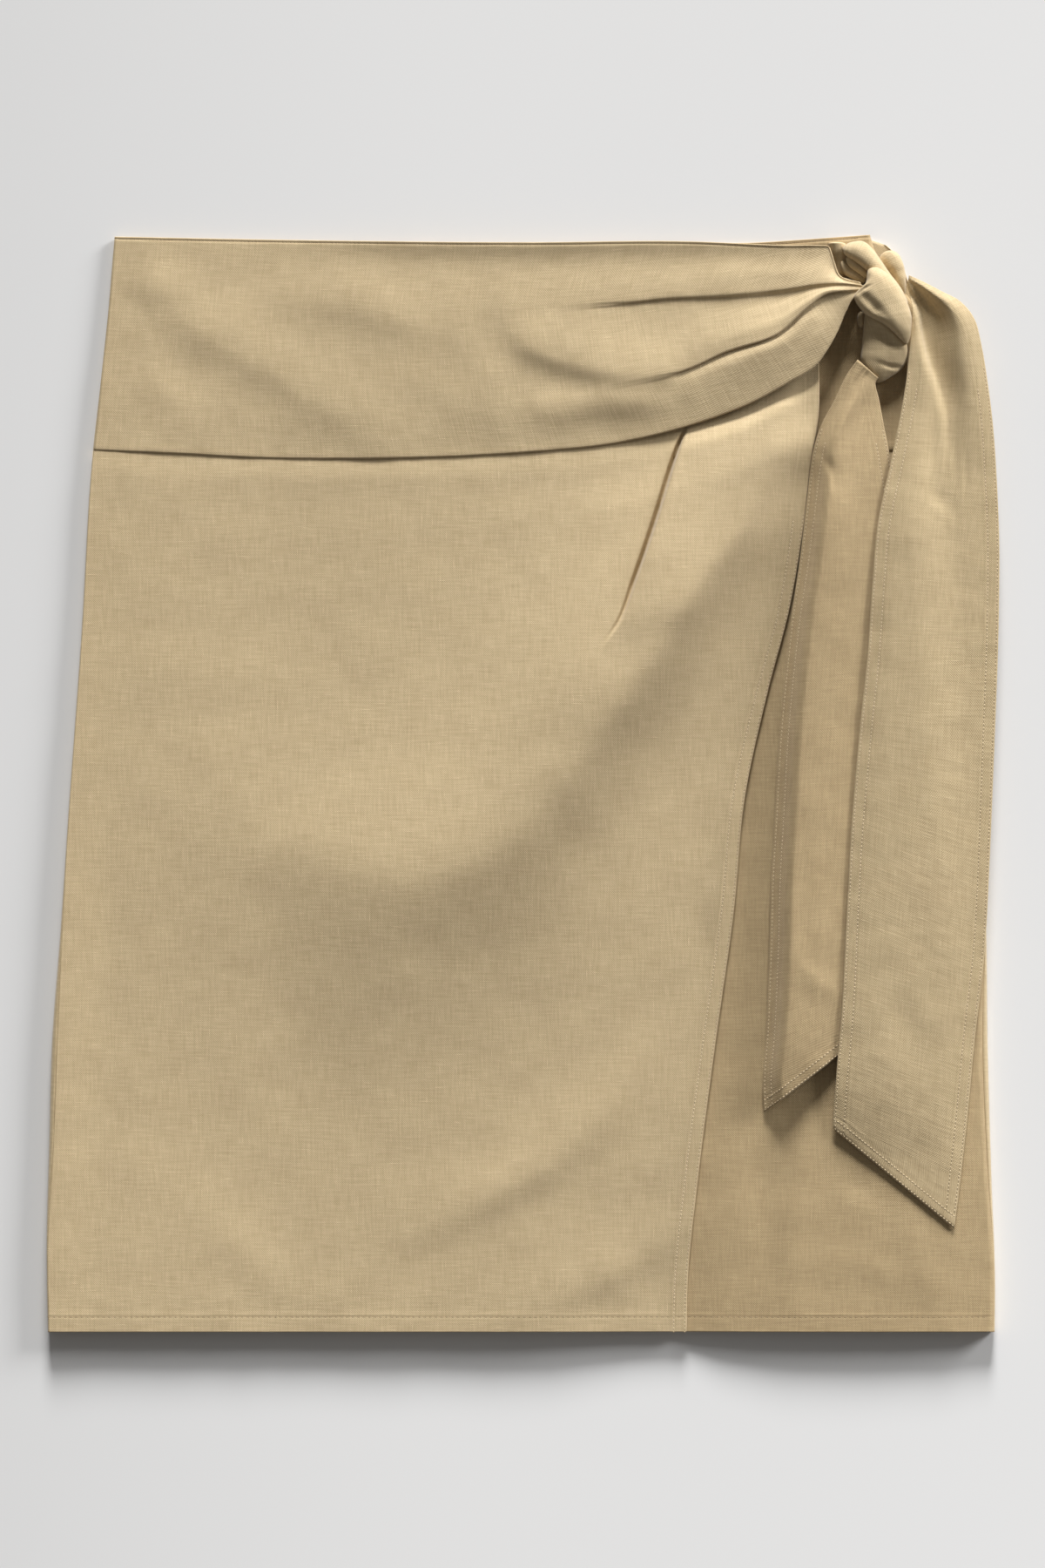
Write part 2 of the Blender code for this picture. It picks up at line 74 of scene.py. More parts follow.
def lineDistance(x, y, line):  # distance to a polyline, 1 to -1 for its left to right, and how far along
    best = np.full(np.shape(x), 1e9)
    side, along = np.ones(np.shape(x)), np.zeros(np.shape(x))
    for k, ((ax, ay), (bx, by)) in enumerate(zip(line, line[1:])):
        rx, ry = bx - ax, by - ay
        t = np.clip(((x - ax) * rx + (y - ay) * ry) / (rx * rx + ry * ry), 0.0, 1.0)
        dx, dy = x - ax - rx * t, y - ay - ry * t
        d = dx * dx + dy * dy + 1e-9
        nearer = d < best
        best = np.where(nearer, d, best)
        side = np.where(nearer, (rx * dy - ry * dx) / np.sqrt(d * (rx * rx + ry * ry)), side)
        along = np.where(nearer, (k + t) / (len(line) - 1), along)
    return np.sqrt(best), side, along


def curved(line, count=14):  # a smooth line through a few points
    line = np.array(line, float)
    t = np.linspace(0.0, len(line) - 1.0, count)
    knots = np.arange(len(line), dtype=float)
    return list(zip(smooth(t, knots, line[:, 0]), smooth(t, knots, line[:, 1])))


def softFolds(x, y, folds):  # each fold: line, reach to its left, reach to its right, height
    z = np.zeros(np.shape(x))
    for fold in folds:
        line = curved(fold["line"]) if len(fold["line"]) > 2 else fold["line"]
        d, side, along = lineDistance(x, y, line)
        left, right, height = (spread(fold[name], along) for name in ("left", "right", "height"))
        reach = (left + right) / 2 + (left - right) / 2 * side
        z += height * np.exp(-(d / reach) ** 2)
    return z


def softRidges(x, y, ridges):  # as softFolds for broad bent ones: no creases on the inner side of the bend
    z = np.zeros(np.shape(x))
    for ridge in ridges:
        line = np.array(curved(ridge["line"], ridge["samples"]))
        along = np.gradient(line, axis=0)
        along /= np.linalg.norm(along, axis=1)[:, None]
        top, total = 0.0, 0.0
        for k in range(len(line)):
            dx, dy = x - line[k, 0], y - line[k, 1]
            d = dx * dx + dy * dy + 0.01
            side = (along[k, 0] * dy - along[k, 1] * dx) / np.sqrt(d)
            left, right, height = (spread(ridge[name], k / (len(line) - 1)) for name in ("left", "right", "height"))
            reach = (left + right) / 2 + (left - right) / 2 * side
            weight = (1 + d / 60.0) ** -5.0
            top = top + weight * height * np.exp(-(d / reach ** 2) ** (ridge["power"] / 2))
            total = total + weight
        z += top / total
    return z


def spread(value, along):  # one value, or several in turn along the fold
    return np.interp(along, np.linspace(0.0, 1.0, len(value)), value) if isinstance(value, tuple) else value


def crinkles(x, y, seed, size, count=24, stretch=1.0):  # soft uneven waves about 1 high
    rng = np.random.RandomState(seed)
    z = np.zeros(np.shape(x))
    for _ in range(count):
        angle, phase, scale = rng.uniform(0, math.pi), rng.uniform(0, 2 * math.pi), rng.uniform(0.7, 1.6)
        z += np.sin(2 * math.pi * (x * math.cos(angle) * stretch + y * math.sin(angle)) / (size * scale) + phase)
    return z / math.sqrt(count)


# ---- the lie of the cloth, shared by every piece

cloth = {
    "wall": 1.4,  # top of each cloth over its underside, as the solids have it
    "gap": 0.3,
    "ride": 2.0,
    "rideStart": -140.0,
    "rideFull": -65.0,
    "sideRound": 28.0,
    "rightRise": 3.0,
    "underlapEnd": -60.0,
    "underlapLow": 30.0,
    "underlapFull": 88.0,
    "hemY": -289.5,
    "hemWidth": 9.0,
    "backSeamDrop": 170.0,
    "backSeamRise": 5.7,
    "halfWidth": 227.0,
}
leftSideRows = table("y x", (-290, -250.5), (-244, -251.2), (-190, -249.8), (-138, -248.4), (-74, -243.6),
                     (-20, -240.0), (80, -232.8), (176, -226.8), (230, -220.5), (290, -215.0))
rightSideRows = table("y x", (-290, 249.3), (-262, 249.5), (-209, 247.6), (-138, 245.6), (-70, 244.5),
                      (-20, 241.0), (80, 234.0), (176, 227.0), (230, 217.0), (262, 205.0), (282, 194.5), (290, 184.0))
insetRows = table("y inset", (-290, 0.8), (-244, 0.9), (-209, 2.0), (-138, 3.0), (-80, 1.2), (69, 0.6), (290, 0.5))
loftRows = table("y height", (-290, 4.6), (-100, 3.8), (0, 3.8), (171, 3.2), (290, 1.3))
hemRows = table("x height", (-250, 5.6), (-140, 5.6), (-65, 3.8), (20, 3.6), (46, 2.3), (87, 1.4), (108, 4.0),
                (184, 6.6), (221, 6.0), (250, 5.2))
liftRows = table("y left right", (-290, 6.0, 4.8), (-230, 6.0, 4.6), (-50, 4.6, 3.8), (90, 3.2, 2.6), (230, 1.7, 0.9),
                 (290, 0.4, 0.0))  # how high the side edges stand


def leftSide(y):
    return smooth(y, leftSideRows["y"], leftSideRows["x"])


def rightSide(y):
    return smooth(y, rightSideRows["y"], rightSideRows["x"])


def seamInset(y):
    return smooth(y, insetRows["y"], insetRows["inset"])


def sideLift(y, side):
    return smooth(y, liftRows["y"], liftRows[side])


def loft(x, y):  # how far the cloth stands over the flat-pressed layers
    rise = smooth(y, loftRows["y"], loftRows["height"])
    rise = rise + cloth["rightRise"] * ramp((x - 95.0) / 90.0) * ramp((215.0 - y) / 90.0)
    nearHem = 1 - ramp((y - cloth["hemY"]) / 120.0)
    rise = rise + (smooth(x, hemRows["x"], hemRows["height"]) - rise) * nearHem
    for side, inside in (("left", x - leftSide(y)), ("right", rightSide(y) - x)):
        lift = sideLift(y, side)
        rise = lift + (rise - lift) * ramp(inside / cloth["sideRound"])
    return rise


def backSeam(x):
    return cloth["backSeamDrop"] + cloth["backSeamRise"] * (x / cloth["halfWidth"]) ** 2


def underTop(x, y):  # upper face of the underlap
    rise = ramp((x - cloth["underlapLow"]) / (cloth["underlapFull"] - cloth["underlapLow"]))
    return 2 * cloth["wall"] + cloth["gap"] + loft(x, y) * rise


def frontTop(x, y):  # upper face of the overlapping front without its folds
    ride = cloth["ride"] * ramp((x - cloth["rideStart"]) / (cloth["rideFull"] - cloth["rideStart"]))
    return 2 * cloth["wall"] + cloth["gap"] + loft(x, y) + ride


# ---- materials

def node(tree, kind, inputs=None, **settings):
    made = tree.nodes.new(kind)
    for name, value in settings.items():
        setattr(made, name, value)
    for name, value in (inputs or {}).items():
        if isinstance(value, bpy.types.NodeSocket):
            tree.links.new(value, made.inputs[name])
        else:
            made.inputs[name].default_value = value
    return made


def maths(tree, operation, first, second=0.0, third=0.0):
    return node(tree, "ShaderNodeMath", {0: first, 1: second, 2: third}, operation=operation).outputs[0]


linenLook = {
    "light": (0.705, 0.556, 0.330),
    "dark": (0.395, 0.285, 0.146),
    "roughness": 0.78,
    "sheen": 0.25,
    "specular": 0.5,
    "threadPitch": 0.00055,
    "streakLength": 0.014,
    "slubLength": 0.008,
    "slubWidth": 0.0008,
    "cloudSize": 0.02,
    "bumpDepth": 0.00022,
}


def linenMaterial(name, toneAndPaintedShade=(1.0, 1.0, 1.0)):
    look = linenLook
    material = bpy.data.materials.new(name)
    material.use_nodes = True
    tree = material.node_tree
    shader = tree.nodes["Principled BSDF"]
    grain = node(tree, "ShaderNodeUVMap", uv_map="grain").outputs[0]
    axes = node(tree, "ShaderNodeSeparateXYZ", {0: grain})

    def yarns(across, alongLength, width, seed):  # uneven threads, long one way and fine the other
        scale = (1 / width, 1 / alongLength, 1.0) if across == "x" else (1 / alongLength, 1 / width, 1.0)
        place = node(tree, "ShaderNodeMapping", {"Vector": grain, "Scale": scale, "Location": (seed, seed * 1.7, 0.0)})
        return node(tree, "ShaderNodeTexNoise", {"Vector": place.outputs[0], "Scale": 1.0, "Detail": 2.0},
                    noise_dimensions="2D").outputs[0]

    warp = yarns("x", look["streakLength"], 2 * look["threadPitch"], 3.1)
    weft = yarns("y", look["streakLength"], 2 * look["threadPitch"], 7.7)
    warpSlub = yarns("x", look["slubLength"], look["slubWidth"], 11.3)
    weftSlub = yarns("y", look["slubLength"], look["slubWidth"], 17.9)
    clouds = node(tree, "ShaderNodeTexNoise", {"Vector": grain, "Scale": 1 / look["cloudSize"], "Detail": 3.0,
                                               "Roughness": 0.6}, noise_dimensions="2D").outputs[0]
    slubs = maths(tree, "ADD", maths(tree, "SMOOTH_MAX", maths(tree, "SUBTRACT", warpSlub, 0.66), 0.0, 0.02),
                  maths(tree, "SMOOTH_MAX", maths(tree, "SUBTRACT", weftSlub, 0.66), 0.0, 0.02))
    turns = math.pi / look["threadPitch"]
    weave = maths(tree, "MULTIPLY", maths(tree, "SINE", maths(tree, "MULTIPLY", axes.outputs[0], turns)),
                  maths(tree, "SINE", maths(tree, "MULTIPLY", axes.outputs[1], turns)))
    tone = maths(tree, "MULTIPLY_ADD", warp, 0.5, -0.04)
    tone = maths(tree, "MULTIPLY_ADD", weft, 0.5, tone)
    tone = maths(tree, "MULTIPLY_ADD", clouds, 0.16, tone)
    tone = maths(tree, "MULTIPLY_ADD", slubs, 1.6, tone)
    tone = maths(tree, "MULTIPLY_ADD", weave, 0.05, tone)
    # the multiplier scales both colours: an even tone for the main linen, painted shade for the darkened under layers
    # and ends
    colour = node(tree, "ShaderNodeMix", {0: tone, 6: tuple(s * c for s, c in zip(toneAndPaintedShade, look["dark"])) + (1.0,),
                                          7: tuple(s * c for s, c in zip(toneAndPaintedShade, look["light"])) + (1.0,)},
                  data_type="RGBA", clamp_factor=True)
    height = maths(tree, "MULTIPLY_ADD", weave, 0.35, 0.5)
    height = maths(tree, "MULTIPLY_ADD", warp, 0.5, height)
    height = maths(tree, "MULTIPLY_ADD", weft, 0.5, height)
    height = maths(tree, "MULTIPLY_ADD", slubs, 2.0, height)
    bump = node(tree, "ShaderNodeBump", {"Strength": 0.7, "Distance": look["bumpDepth"], "Height": height})
    tree.links.new(colour.outputs[2], shader.inputs["Base Color"])
    tree.links.new(bump.outputs[0], shader.inputs["Normal"])
    shader.inputs["Roughness"].default_value = look["roughness"]
    shader.inputs["Sheen Weight"].default_value = look["sheen"]
    shader.inputs["Sheen Roughness"].default_value = 0.5
    shader.inputs["Specular IOR Level"].default_value = look["specular"]
    return material


threadLook = {
    "cream": {"light": (0.74, 0.61, 0.41), "dark": (0.56, 0.43, 0.26)},
    "brown": {"light": (0.34, 0.24, 0.13), "dark": (0.22, 0.15, 0.075)},
    # dark beads laid between the stitches: painted shade of the needle pits
    "pitShade": {"light": (0.20, 0.145, 0.08), "dark": (0.14, 0.10, 0.05)},
    "roughness": 0.7,
    "twist": 0.0006,
}


def threadMaterial(name, tint):
    look = threadLook[tint]
    material = bpy.data.materials.new(name)
    material.use_nodes = True
    tree = material.node_tree
    shader = tree.nodes["Principled BSDF"]
    place = node(tree, "ShaderNodeTexCoord").outputs["Object"]
    ply = node(tree, "ShaderNodeTexNoise", {"Vector": place, "Scale": 1 / threadLook["twist"], "Detail": 1.0})
    colour = node(tree, "ShaderNodeMix", {0: ply.outputs[0], 6: look["dark"] + (1.0,), 7: look["light"] + (1.0,)}, data_type="RGBA")
    bump = node(tree, "ShaderNodeBump", {"Strength": 0.5, "Distance": 0.00005, "Height": ply.outputs[0]})
    tree.links.new(colour.outputs[2], shader.inputs["Base Color"])
    tree.links.new(bump.outputs[0], shader.inputs["Normal"])
    shader.inputs["Roughness"].default_value = threadLook["roughness"]
    return material


linen = linenMaterial("linen", (0.965, 0.965, 0.97))
linenUnderShaded = linenMaterial("linenUnderShaded", (0.83, 0.79, 0.73))  # the underlap and its yoke: the same linen darkened, painted shade for the layers that lie low, under the front and the tails
# the short end: the same linen darkened, painted shade for an end that leans away from the lamps
linenShortShaded = linenMaterial("linenShortShaded", (0.78, 0.74, 0.68))
# the long end: the same linen slightly darkened, painted shade
linenLongShaded = linenMaterial("linenLongShaded", (0.90, 0.895, 0.88))
thread = threadMaterial("linenThread", "cream")
threadBrown = threadMaterial("brownThread", "brown")
threadPitShade = threadMaterial("needlePitShade", "pitShade")
print("materials made")


# ---- meshes from grids of points

def gridMesh(name, points, grain):
    rows, cells = points.shape[:2]
    index = np.arange(rows * cells).reshape(rows, cells)
    quads = np.stack([index[:-1, :-1], index[:-1, 1:], index[1:, 1:], index[1:, :-1]], axis=-1).reshape(-1, 4)
    mesh = bpy.data.meshes.new(name)
    mesh.from_pydata((points.reshape(-1, 3) * mm).tolist(), [], quads.tolist())
    layer = mesh.uv_layers.new(name="grain")
    flat = (grain.reshape(-1, 2) * mm)[quads.ravel()]
    layer.data.foreach_set("uv", flat.ravel())
    mesh.shade_smooth()
    return mesh


def upward(points):  # True where the grid's faces look up
    a = points[-1, 0] - points[0, 0]
    b = points[0, -1] - points[0, 0]
    return b[0] * a[1] - b[1] * a[0] > 0


def applied(piece, name):  # the evaluated shape as a plain mesh object
    depsgraph = bpy.context.evaluated_depsgraph_get()
    mesh = bpy.data.meshes.new_from_object(piece.evaluated_get(depsgraph), depsgraph=depsgraph)
    made = bpy.data.objects.new(name, mesh)
    bpy.context.collection.objects.link(made)
    bpy.data.objects.remove(piece, do_unlink=True)
    return made


def clothPiece(name, points, grain, thickness, material=linen):  # a thin shell hung below a grid of upper points
    if not upward(points):
        points, grain = points[:, ::-1], grain[:, ::-1]
    piece = bpy.data.objects.new(name + "Sheet", gridMesh(name, points, grain))
    bpy.context.collection.objects.link(piece)
    piece.data.materials.append(material)
    shell = piece.modifiers.new("shell", "SOLIDIFY")
    shell.thickness = thickness * mm
    shell.offset = -1.0
    return applied(piece, name)


def declare(piece, nodeName):
    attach(piece, "root")
    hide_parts(nodeName)
    print("made", piece.name, len(piece.data.polygons), "faces")


def surfacePath(points, edge, inset, start=0.0, stop=1.0):  # points at an even inset from a grid's edge
    lines = points if edge in ("left", "right") else points.transpose(1, 0, 2)
    if edge in ("right", "top"):
        lines = lines[:, ::-1]
    path = []
    for k in range(int(start * (len(lines) - 1)), int(stop * (len(lines) - 1)) + 1):
        reach = np.concatenate([[0.0], np.cumsum(np.linalg.norm(np.diff(lines[k], axis=0), axis=1))])
        path.append([np.interp(inset, reach, lines[k][:, axis]) for axis in range(3)])
    return np.array(path)


def turnedEdge(distance, width, rise=0.12, groove=0.12, line=None):  # a turned and stitched edge's relief
    stitchLine = width - 1.0 if line is None else line
    return rise * (1 - ramp((distance - width) / 1.6)) - groove * np.exp(-((distance - stitchLine) / 0.7) ** 2)



# ---- back, lying on the surface with its outer face down

backLook = {"thickness": 0.7, "rows": 76, "cells": 80, "wrapTop": 2.7, "groove": 0.2}
wrapProfile = table("out in_ z", (0.0, 1.0, 1.0), (0.05, 0.55, 1.02), (0.22, 0.12, 0.86), (0.0, 0.0, 0.5),
                    (0.25, 0.0, 0.16), (1.0, 0.0, 0.02), (2.4, 0.0, 0.0))


def backGrid(low, high, rightWrap):
    rows = np.unique(np.concatenate([np.linspace(0, 1, backLook["rows"]), np.linspace(0, 0.025, 18)]))
    grid, grain = [], []
    inner = np.linspace(0.0, 1.0, backLook["cells"])
    for v in rows:
        y = low(np.zeros(1)) + v * (high(np.zeros(1)) - low(np.zeros(1)))
        inset = seamInset(y) + 0.2
        leftX, rightX = leftSide(y), rightSide(y)
        keep = rightWrap(y)
        dx = wrapProfile["out"] + wrapProfile["in_"] * inset
        left = np.stack([leftX + dx, wrapProfile["z"] * (backLook["wrapTop"] + sideLift(y, "left"))], axis=1)
        right = wrapProfile["z"] * (backLook["wrapTop"] + sideLift(y, "right")) * keep
        right = np.stack([rightX - dx, right], axis=1)[::-1]
        middle = np.stack([left[-1, 0] + (right[0, 0] - left[-1, 0]) * inner[1:-1], 0 * inner[1:-1]], axis=1)
        cross = np.concatenate([left, middle, right])
        across = (cross[:, 0] - cross[0, 0]) / (cross[-1, 0] - cross[0, 0])
        xs = cross[:, 0]
        ys = low(xs) + v * (high(xs) - low(xs))
        bend = cross[:, 0] + (leftSide(ys) - leftX) * (1 - across) + (rightSide(ys) - rightX) * across
        hem = np.abs(ys - cloth["hemY"] - cloth["hemWidth"])
        zs = cross[:, 1] + backLook["groove"] * np.exp(-(hem / 0.7) ** 2) * (cross[:, 1] < 0.3)
        grid.append(np.stack([bend, ys, zs], axis=1))
        girth = np.concatenate([[0.0], np.cumsum(np.hypot(np.diff(cross[:, 0]), np.diff(cross[:, 1])))])
        grain.append(np.stack([girth - girth[-1] / 2, ys], axis=1))
    return np.array(grid), np.array(grain)


def downCloth(name, points, grain, thickness):  # the same shell with its outer face down
    if upward(points):
        points, grain = points[:, ::-1], grain[:, ::-1]
    piece = bpy.data.objects.new(name + "Sheet", gridMesh(name, points, grain))
    bpy.context.collection.objects.link(piece)
    piece.data.materials.append(linen)
    shell = piece.modifiers.new("shell", "SOLIDIFY")
    shell.thickness = thickness * mm
    shell.offset = -1.0
    return applied(piece, name)


backTopRows = table("x y", (-216, 287.6), (-135, 286.0), (0, 284.4), (90, 284.8), (140, 285.6), (170, 287.6),
                    (184, 288.3), (195, 281.5))
backPoints, backGrain = backGrid(lambda x: cloth["hemY"] + 0 * x, lambda x: backSeam(x) - 0.15,
                                 lambda y: 1.0 + 0 * y)
backPanel = downCloth("backPanel", backPoints, backGrain, backLook["thickness"])
declare(backPanel, "back_panel")
backYokePoints, backYokeGrain = backGrid(lambda x: backSeam(x) + 0.15,
                                         lambda x: smooth(x, backTopRows["x"], backTopRows["y"]),
                                         lambda y: 1.0 - 0.65 * ramp((y - 185) / 15))
backYoke = downCloth("backYoke", backYokePoints, backYokeGrain, backLook["thickness"])
declare(backYoke, "back_yoke")


# ---- underlap

underLook = {"thickness": 0.6, "rows": 160, "cells": 120}
underFolds = [
    {"line": [(152, -170), (148, -205), (140, -240), (142, -275)], "left": 9, "right": 7, "height": (0.6, 1.4, 1.2, 0.3)},
    {"line": [(128, -165), (124, -200), (127, -250)], "left": 7, "right": 7, "height": (0.2, -0.8, -0.2)},
    {"line": [(196, -215), (208, -250), (222, -282)], "left": 9, "right": 8, "height": (0.2, 0.8, 0.4)},
    {"line": [(172, -250), (190, -258), (215, -262)], "left": 6, "right": 8, "height": (0.1, 0.6, 0.1)},
    {"line": [(160, -195), (176, -212), (196, -224)], "left": 7, "right": 7, "height": (0.2, -0.7, -0.2)},
    {"line": [(100, -60), (98, -140), (94, -220)], "left": 8, "right": 10, "height": (-0.3, -0.6, -0.2)},
    {"line": [(163, 225), (160, 200), (156, 160)], "left": 4, "right": 6, "height": -0.8},
    {"line": [(176, 254), (171, 238), (164, 222)], "left": 8, "right": 8, "height": (-4.2, -4.2, -1.6)},
]


def underSurface(x, y):
    z = underTop(x, y) + softFolds(x, y, underFolds) + 0.10 * crinkles(x, y, 4, 26) + 0.03 * crinkles(x, y, 5, 9)
    return z + turnedEdge(y - cloth["hemY"], cloth["hemWidth"])


def underGrid(bottom, top, side, rows, surface):
    grid = []
    for v in rows:
        x = np.linspace(cloth["underlapEnd"], cloth["halfWidth"], underLook["cells"])
        u = np.linspace(0.0, 1.0, underLook["cells"])
        for _ in range(4):
            y = bottom(x) + v * (top(x) - bottom(x))
            x = cloth["underlapEnd"] + u * (side(y) - cloth["underlapEnd"])
        grid.append(np.stack([x, y, surface(x, y)], axis=1))
    return np.array(grid)


underRows = np.concatenate([np.linspace(0.0, 0.026, 26), np.linspace(0.03, 1.0, underLook["rows"])])
underPoints = underGrid(lambda x: cloth["hemY"] + 0 * x, lambda x: backSeam(x) + 3.0,
                        lambda y: rightSide(y) - seamInset(y), underRows, underSurface)
underPanel = clothPiece("underPanel", underPoints, underPoints[:, :, :2], underLook["thickness"], linenUnderShaded)
declare(underPanel, "under_panel")

underTopRows = table("x y", (-60, 284.0), (90, 284.8), (120, 285.0), (149.5, 286.8), (183, 289.3))
underSideRows = table("y x", (170, 226.6), (230, 216.3), (255, 205.0), (268, 193.0), (282, 185.6), (290, 183.2))


def underYokeSurface(x, y):
    edge = smooth(x, underTopRows["x"], underTopRows["y"]) - y
    z = underTop(x, y) + 0.9 + softFolds(x, y, underFolds) + 0.1 * crinkles(x, y, 8, 18)
    return z - 0.9 * np.exp(-((y - backSeam(x)) / 0.8) ** 2) + turnedEdge(edge, 2.2, 0.2, 0.3, 1.3)


underYokePoints = underGrid(lambda x: backSeam(x), lambda x: smooth(x, underTopRows["x"], underTopRows["y"]),
                            lambda y: smooth(y, underSideRows["y"], underSideRows["x"]),
                            np.concatenate([np.linspace(0.0, 0.96, 60), np.linspace(0.965, 1.0, 9)]),
                            underYokeSurface)
underYoke = clothPiece("underYoke", underYokePoints, underYokePoints[:, :, :2], underLook["thickness"], linenUnderShaded)
declare(underYoke, "under_yoke")


# ---- front yoke, gathered into the knot by two folds

yokeBottomRows = table("x y z", (-226.3, 175.7, 0.0), (-184, 173.9, 0.35), (-138, 171.6, 0.35), (-92, 171.1, 0.4),
                       (-55, 171.6, 0.5), (0, 174.3, 0.6), (50, 179.4, 1.0), (87, 188.1, 3.2), (124, 201.9, 6.8),
                       (139.8, 210.7, 8.2), (154.6, 219.9, 9.0), (161, 228.6, 9.4), (166.1, 237.8, 9.8),
                       (170.7, 248.4, 10.2), (175.2, 256.0, 10.8), (181.0, 258.4, 10.8))
foldTwoRows = table("x y below above", (-223.2, 206, 0.0, 0.0), (-120, 200, 0.8, 0.8), (-20, 201, 1.2, 1.2),
                    (40, 207, 1.6, 1.6), (69, 212.5, 2.0, 2.6), (81.9, 215.7, 2.6, 3.8), (107.2, 227.2, 4.6, 6.3),
                    (134.8, 236.9, 7.0, 9.0), (150.4, 250.7, 8.2, 10.2), (160, 257.4, 8.4, 10.4),
                    (173.2, 259.0, 10.0, 10.8), (180.7, 259.8, 10.8, 11.1))
foldOneRows = table("x y below above", (-218.6, 249, 0.0, 0.0), (-120, 246, 1.0, 1.0), (-20, 247, 1.6, 1.6),
                    (30.8, 250.7, 1.6, 1.9), (53.4, 252.4, 1.2, 2.3), (76.4, 254.8, 1.1, 2.3),
                    (108, 256.0, 2.5, 3.6), (139.8, 259.0, 4.4, 5.3), (156.9, 262.0, 7.3, 7.9),
                    (171.0, 262.4, 9.6, 10.0), (180.4, 261.2, 10.8, 11.1))
yokeTopRows = table("x y z", (-215.3, 288.4, 0.0), (-135.2, 286.8, 0.6), (0, 285.2, 0.6), (87.9, 285.7, 0.6),
                    (140, 283.6, 2.2), (157, 283.4, 3.2), (161.2, 283.0, 3.5), (162.6, 279.6, 3.9),
                   (164.4, 273.6, 4.7), (166.5, 268.0, 6.2), (178.0, 263.4, 8.6))
yokeLook = {"thickness": 0.6, "stations": 300, "bands": (18, 22, 17), "hollowDepth": 1.6}
yokeFolds = [
    {"line": [(-12, 268), (-7, 248), (2, 232), (23, 223), (46, 218), (72, 216)], "left": (14, 16, 20, 20, 14), "right": (10, 9, 8, 9, 8),
     "height": (0.5, 1.0, 2.0, 2.9, 2.2)},
    {"line": [(14, 196), (40, 201), (64, 202), (84, 205)], "left": 10, "right": 9, "height": (0.9, 1.9, 2.2, 0.8)},
    {"line": [(-30, 240), (-20, 214), (-6, 190)], "left": 16, "right": 12, "height": (0.4, 0.9, 0.3)},
    {"line": [(92, 213), (115, 223), (138, 232), (152, 243)], "left": 5, "right": 13, "height": (1.6, 2.8, 3.0, 2.0)},
    {"line": [(-110, 288), (-60, 287), (0, 286), (80, 287), (160, 285)], "left": 9, "right": 8, "height": (0.3, 1.6, 1.9, 1.5, 1.2)},
    {"line": [(-190, 254), (-166, 237), (-138, 221), (-110, 204), (-84, 184)], "left": 20, "right": 12,
     "height": (0.6, 1.5, 1.5, 1.3, 0.8)},
    {"line": [(-126, 256), (-98, 254), (-74, 249), (-44, 238)], "left": 16, "right": 12, "height": (0.4, 1.1, 1.1, 0.5)},
    {"line": [(-212, 268), (-196, 262), (-180, 264)], "left": 10, "right": 9, "height": (0.2, 0.7, 0.3)},
    {"line": [(-70, 214), (-40, 206), (-14, 190)], "left": 12, "right": 10, "height": (0.2, 0.7, 0.3)},
    {"line": [(-205, 216), (-186, 204), (-168, 186)], "left": 10, "right": 10, "height": (0.2, 0.6, 0.2)},
    {"line": [(96, 268), (130, 270), (158, 268)], "left": 7, "right": 7, "height": (0.2, 0.6, 0.5)},
]
foldFlat = np.array([-2.0, -1.5, -1.0, -0.5, 0.0, 0.5, 1.0, 1.5, 2.0, 2.6])
foldLift = np.array([0.0, 0.0, 0.0, 0.22, 0.46, 0.52, 0.66, 0.86, 0.98, 1.0])


def foldOver(step, tuck):  # offsets across a sharp fold from its lower to its upper side
    strength = ramp((step - 0.8) / 1.0)
    folded = np.array([-2.0, -0.6, 0.8 * tuck, tuck, 0.8 * tuck, 0.4, -0.25, 0.0, 0.9, 2.8])
    return foldFlat + (folded - foldFlat) * strength


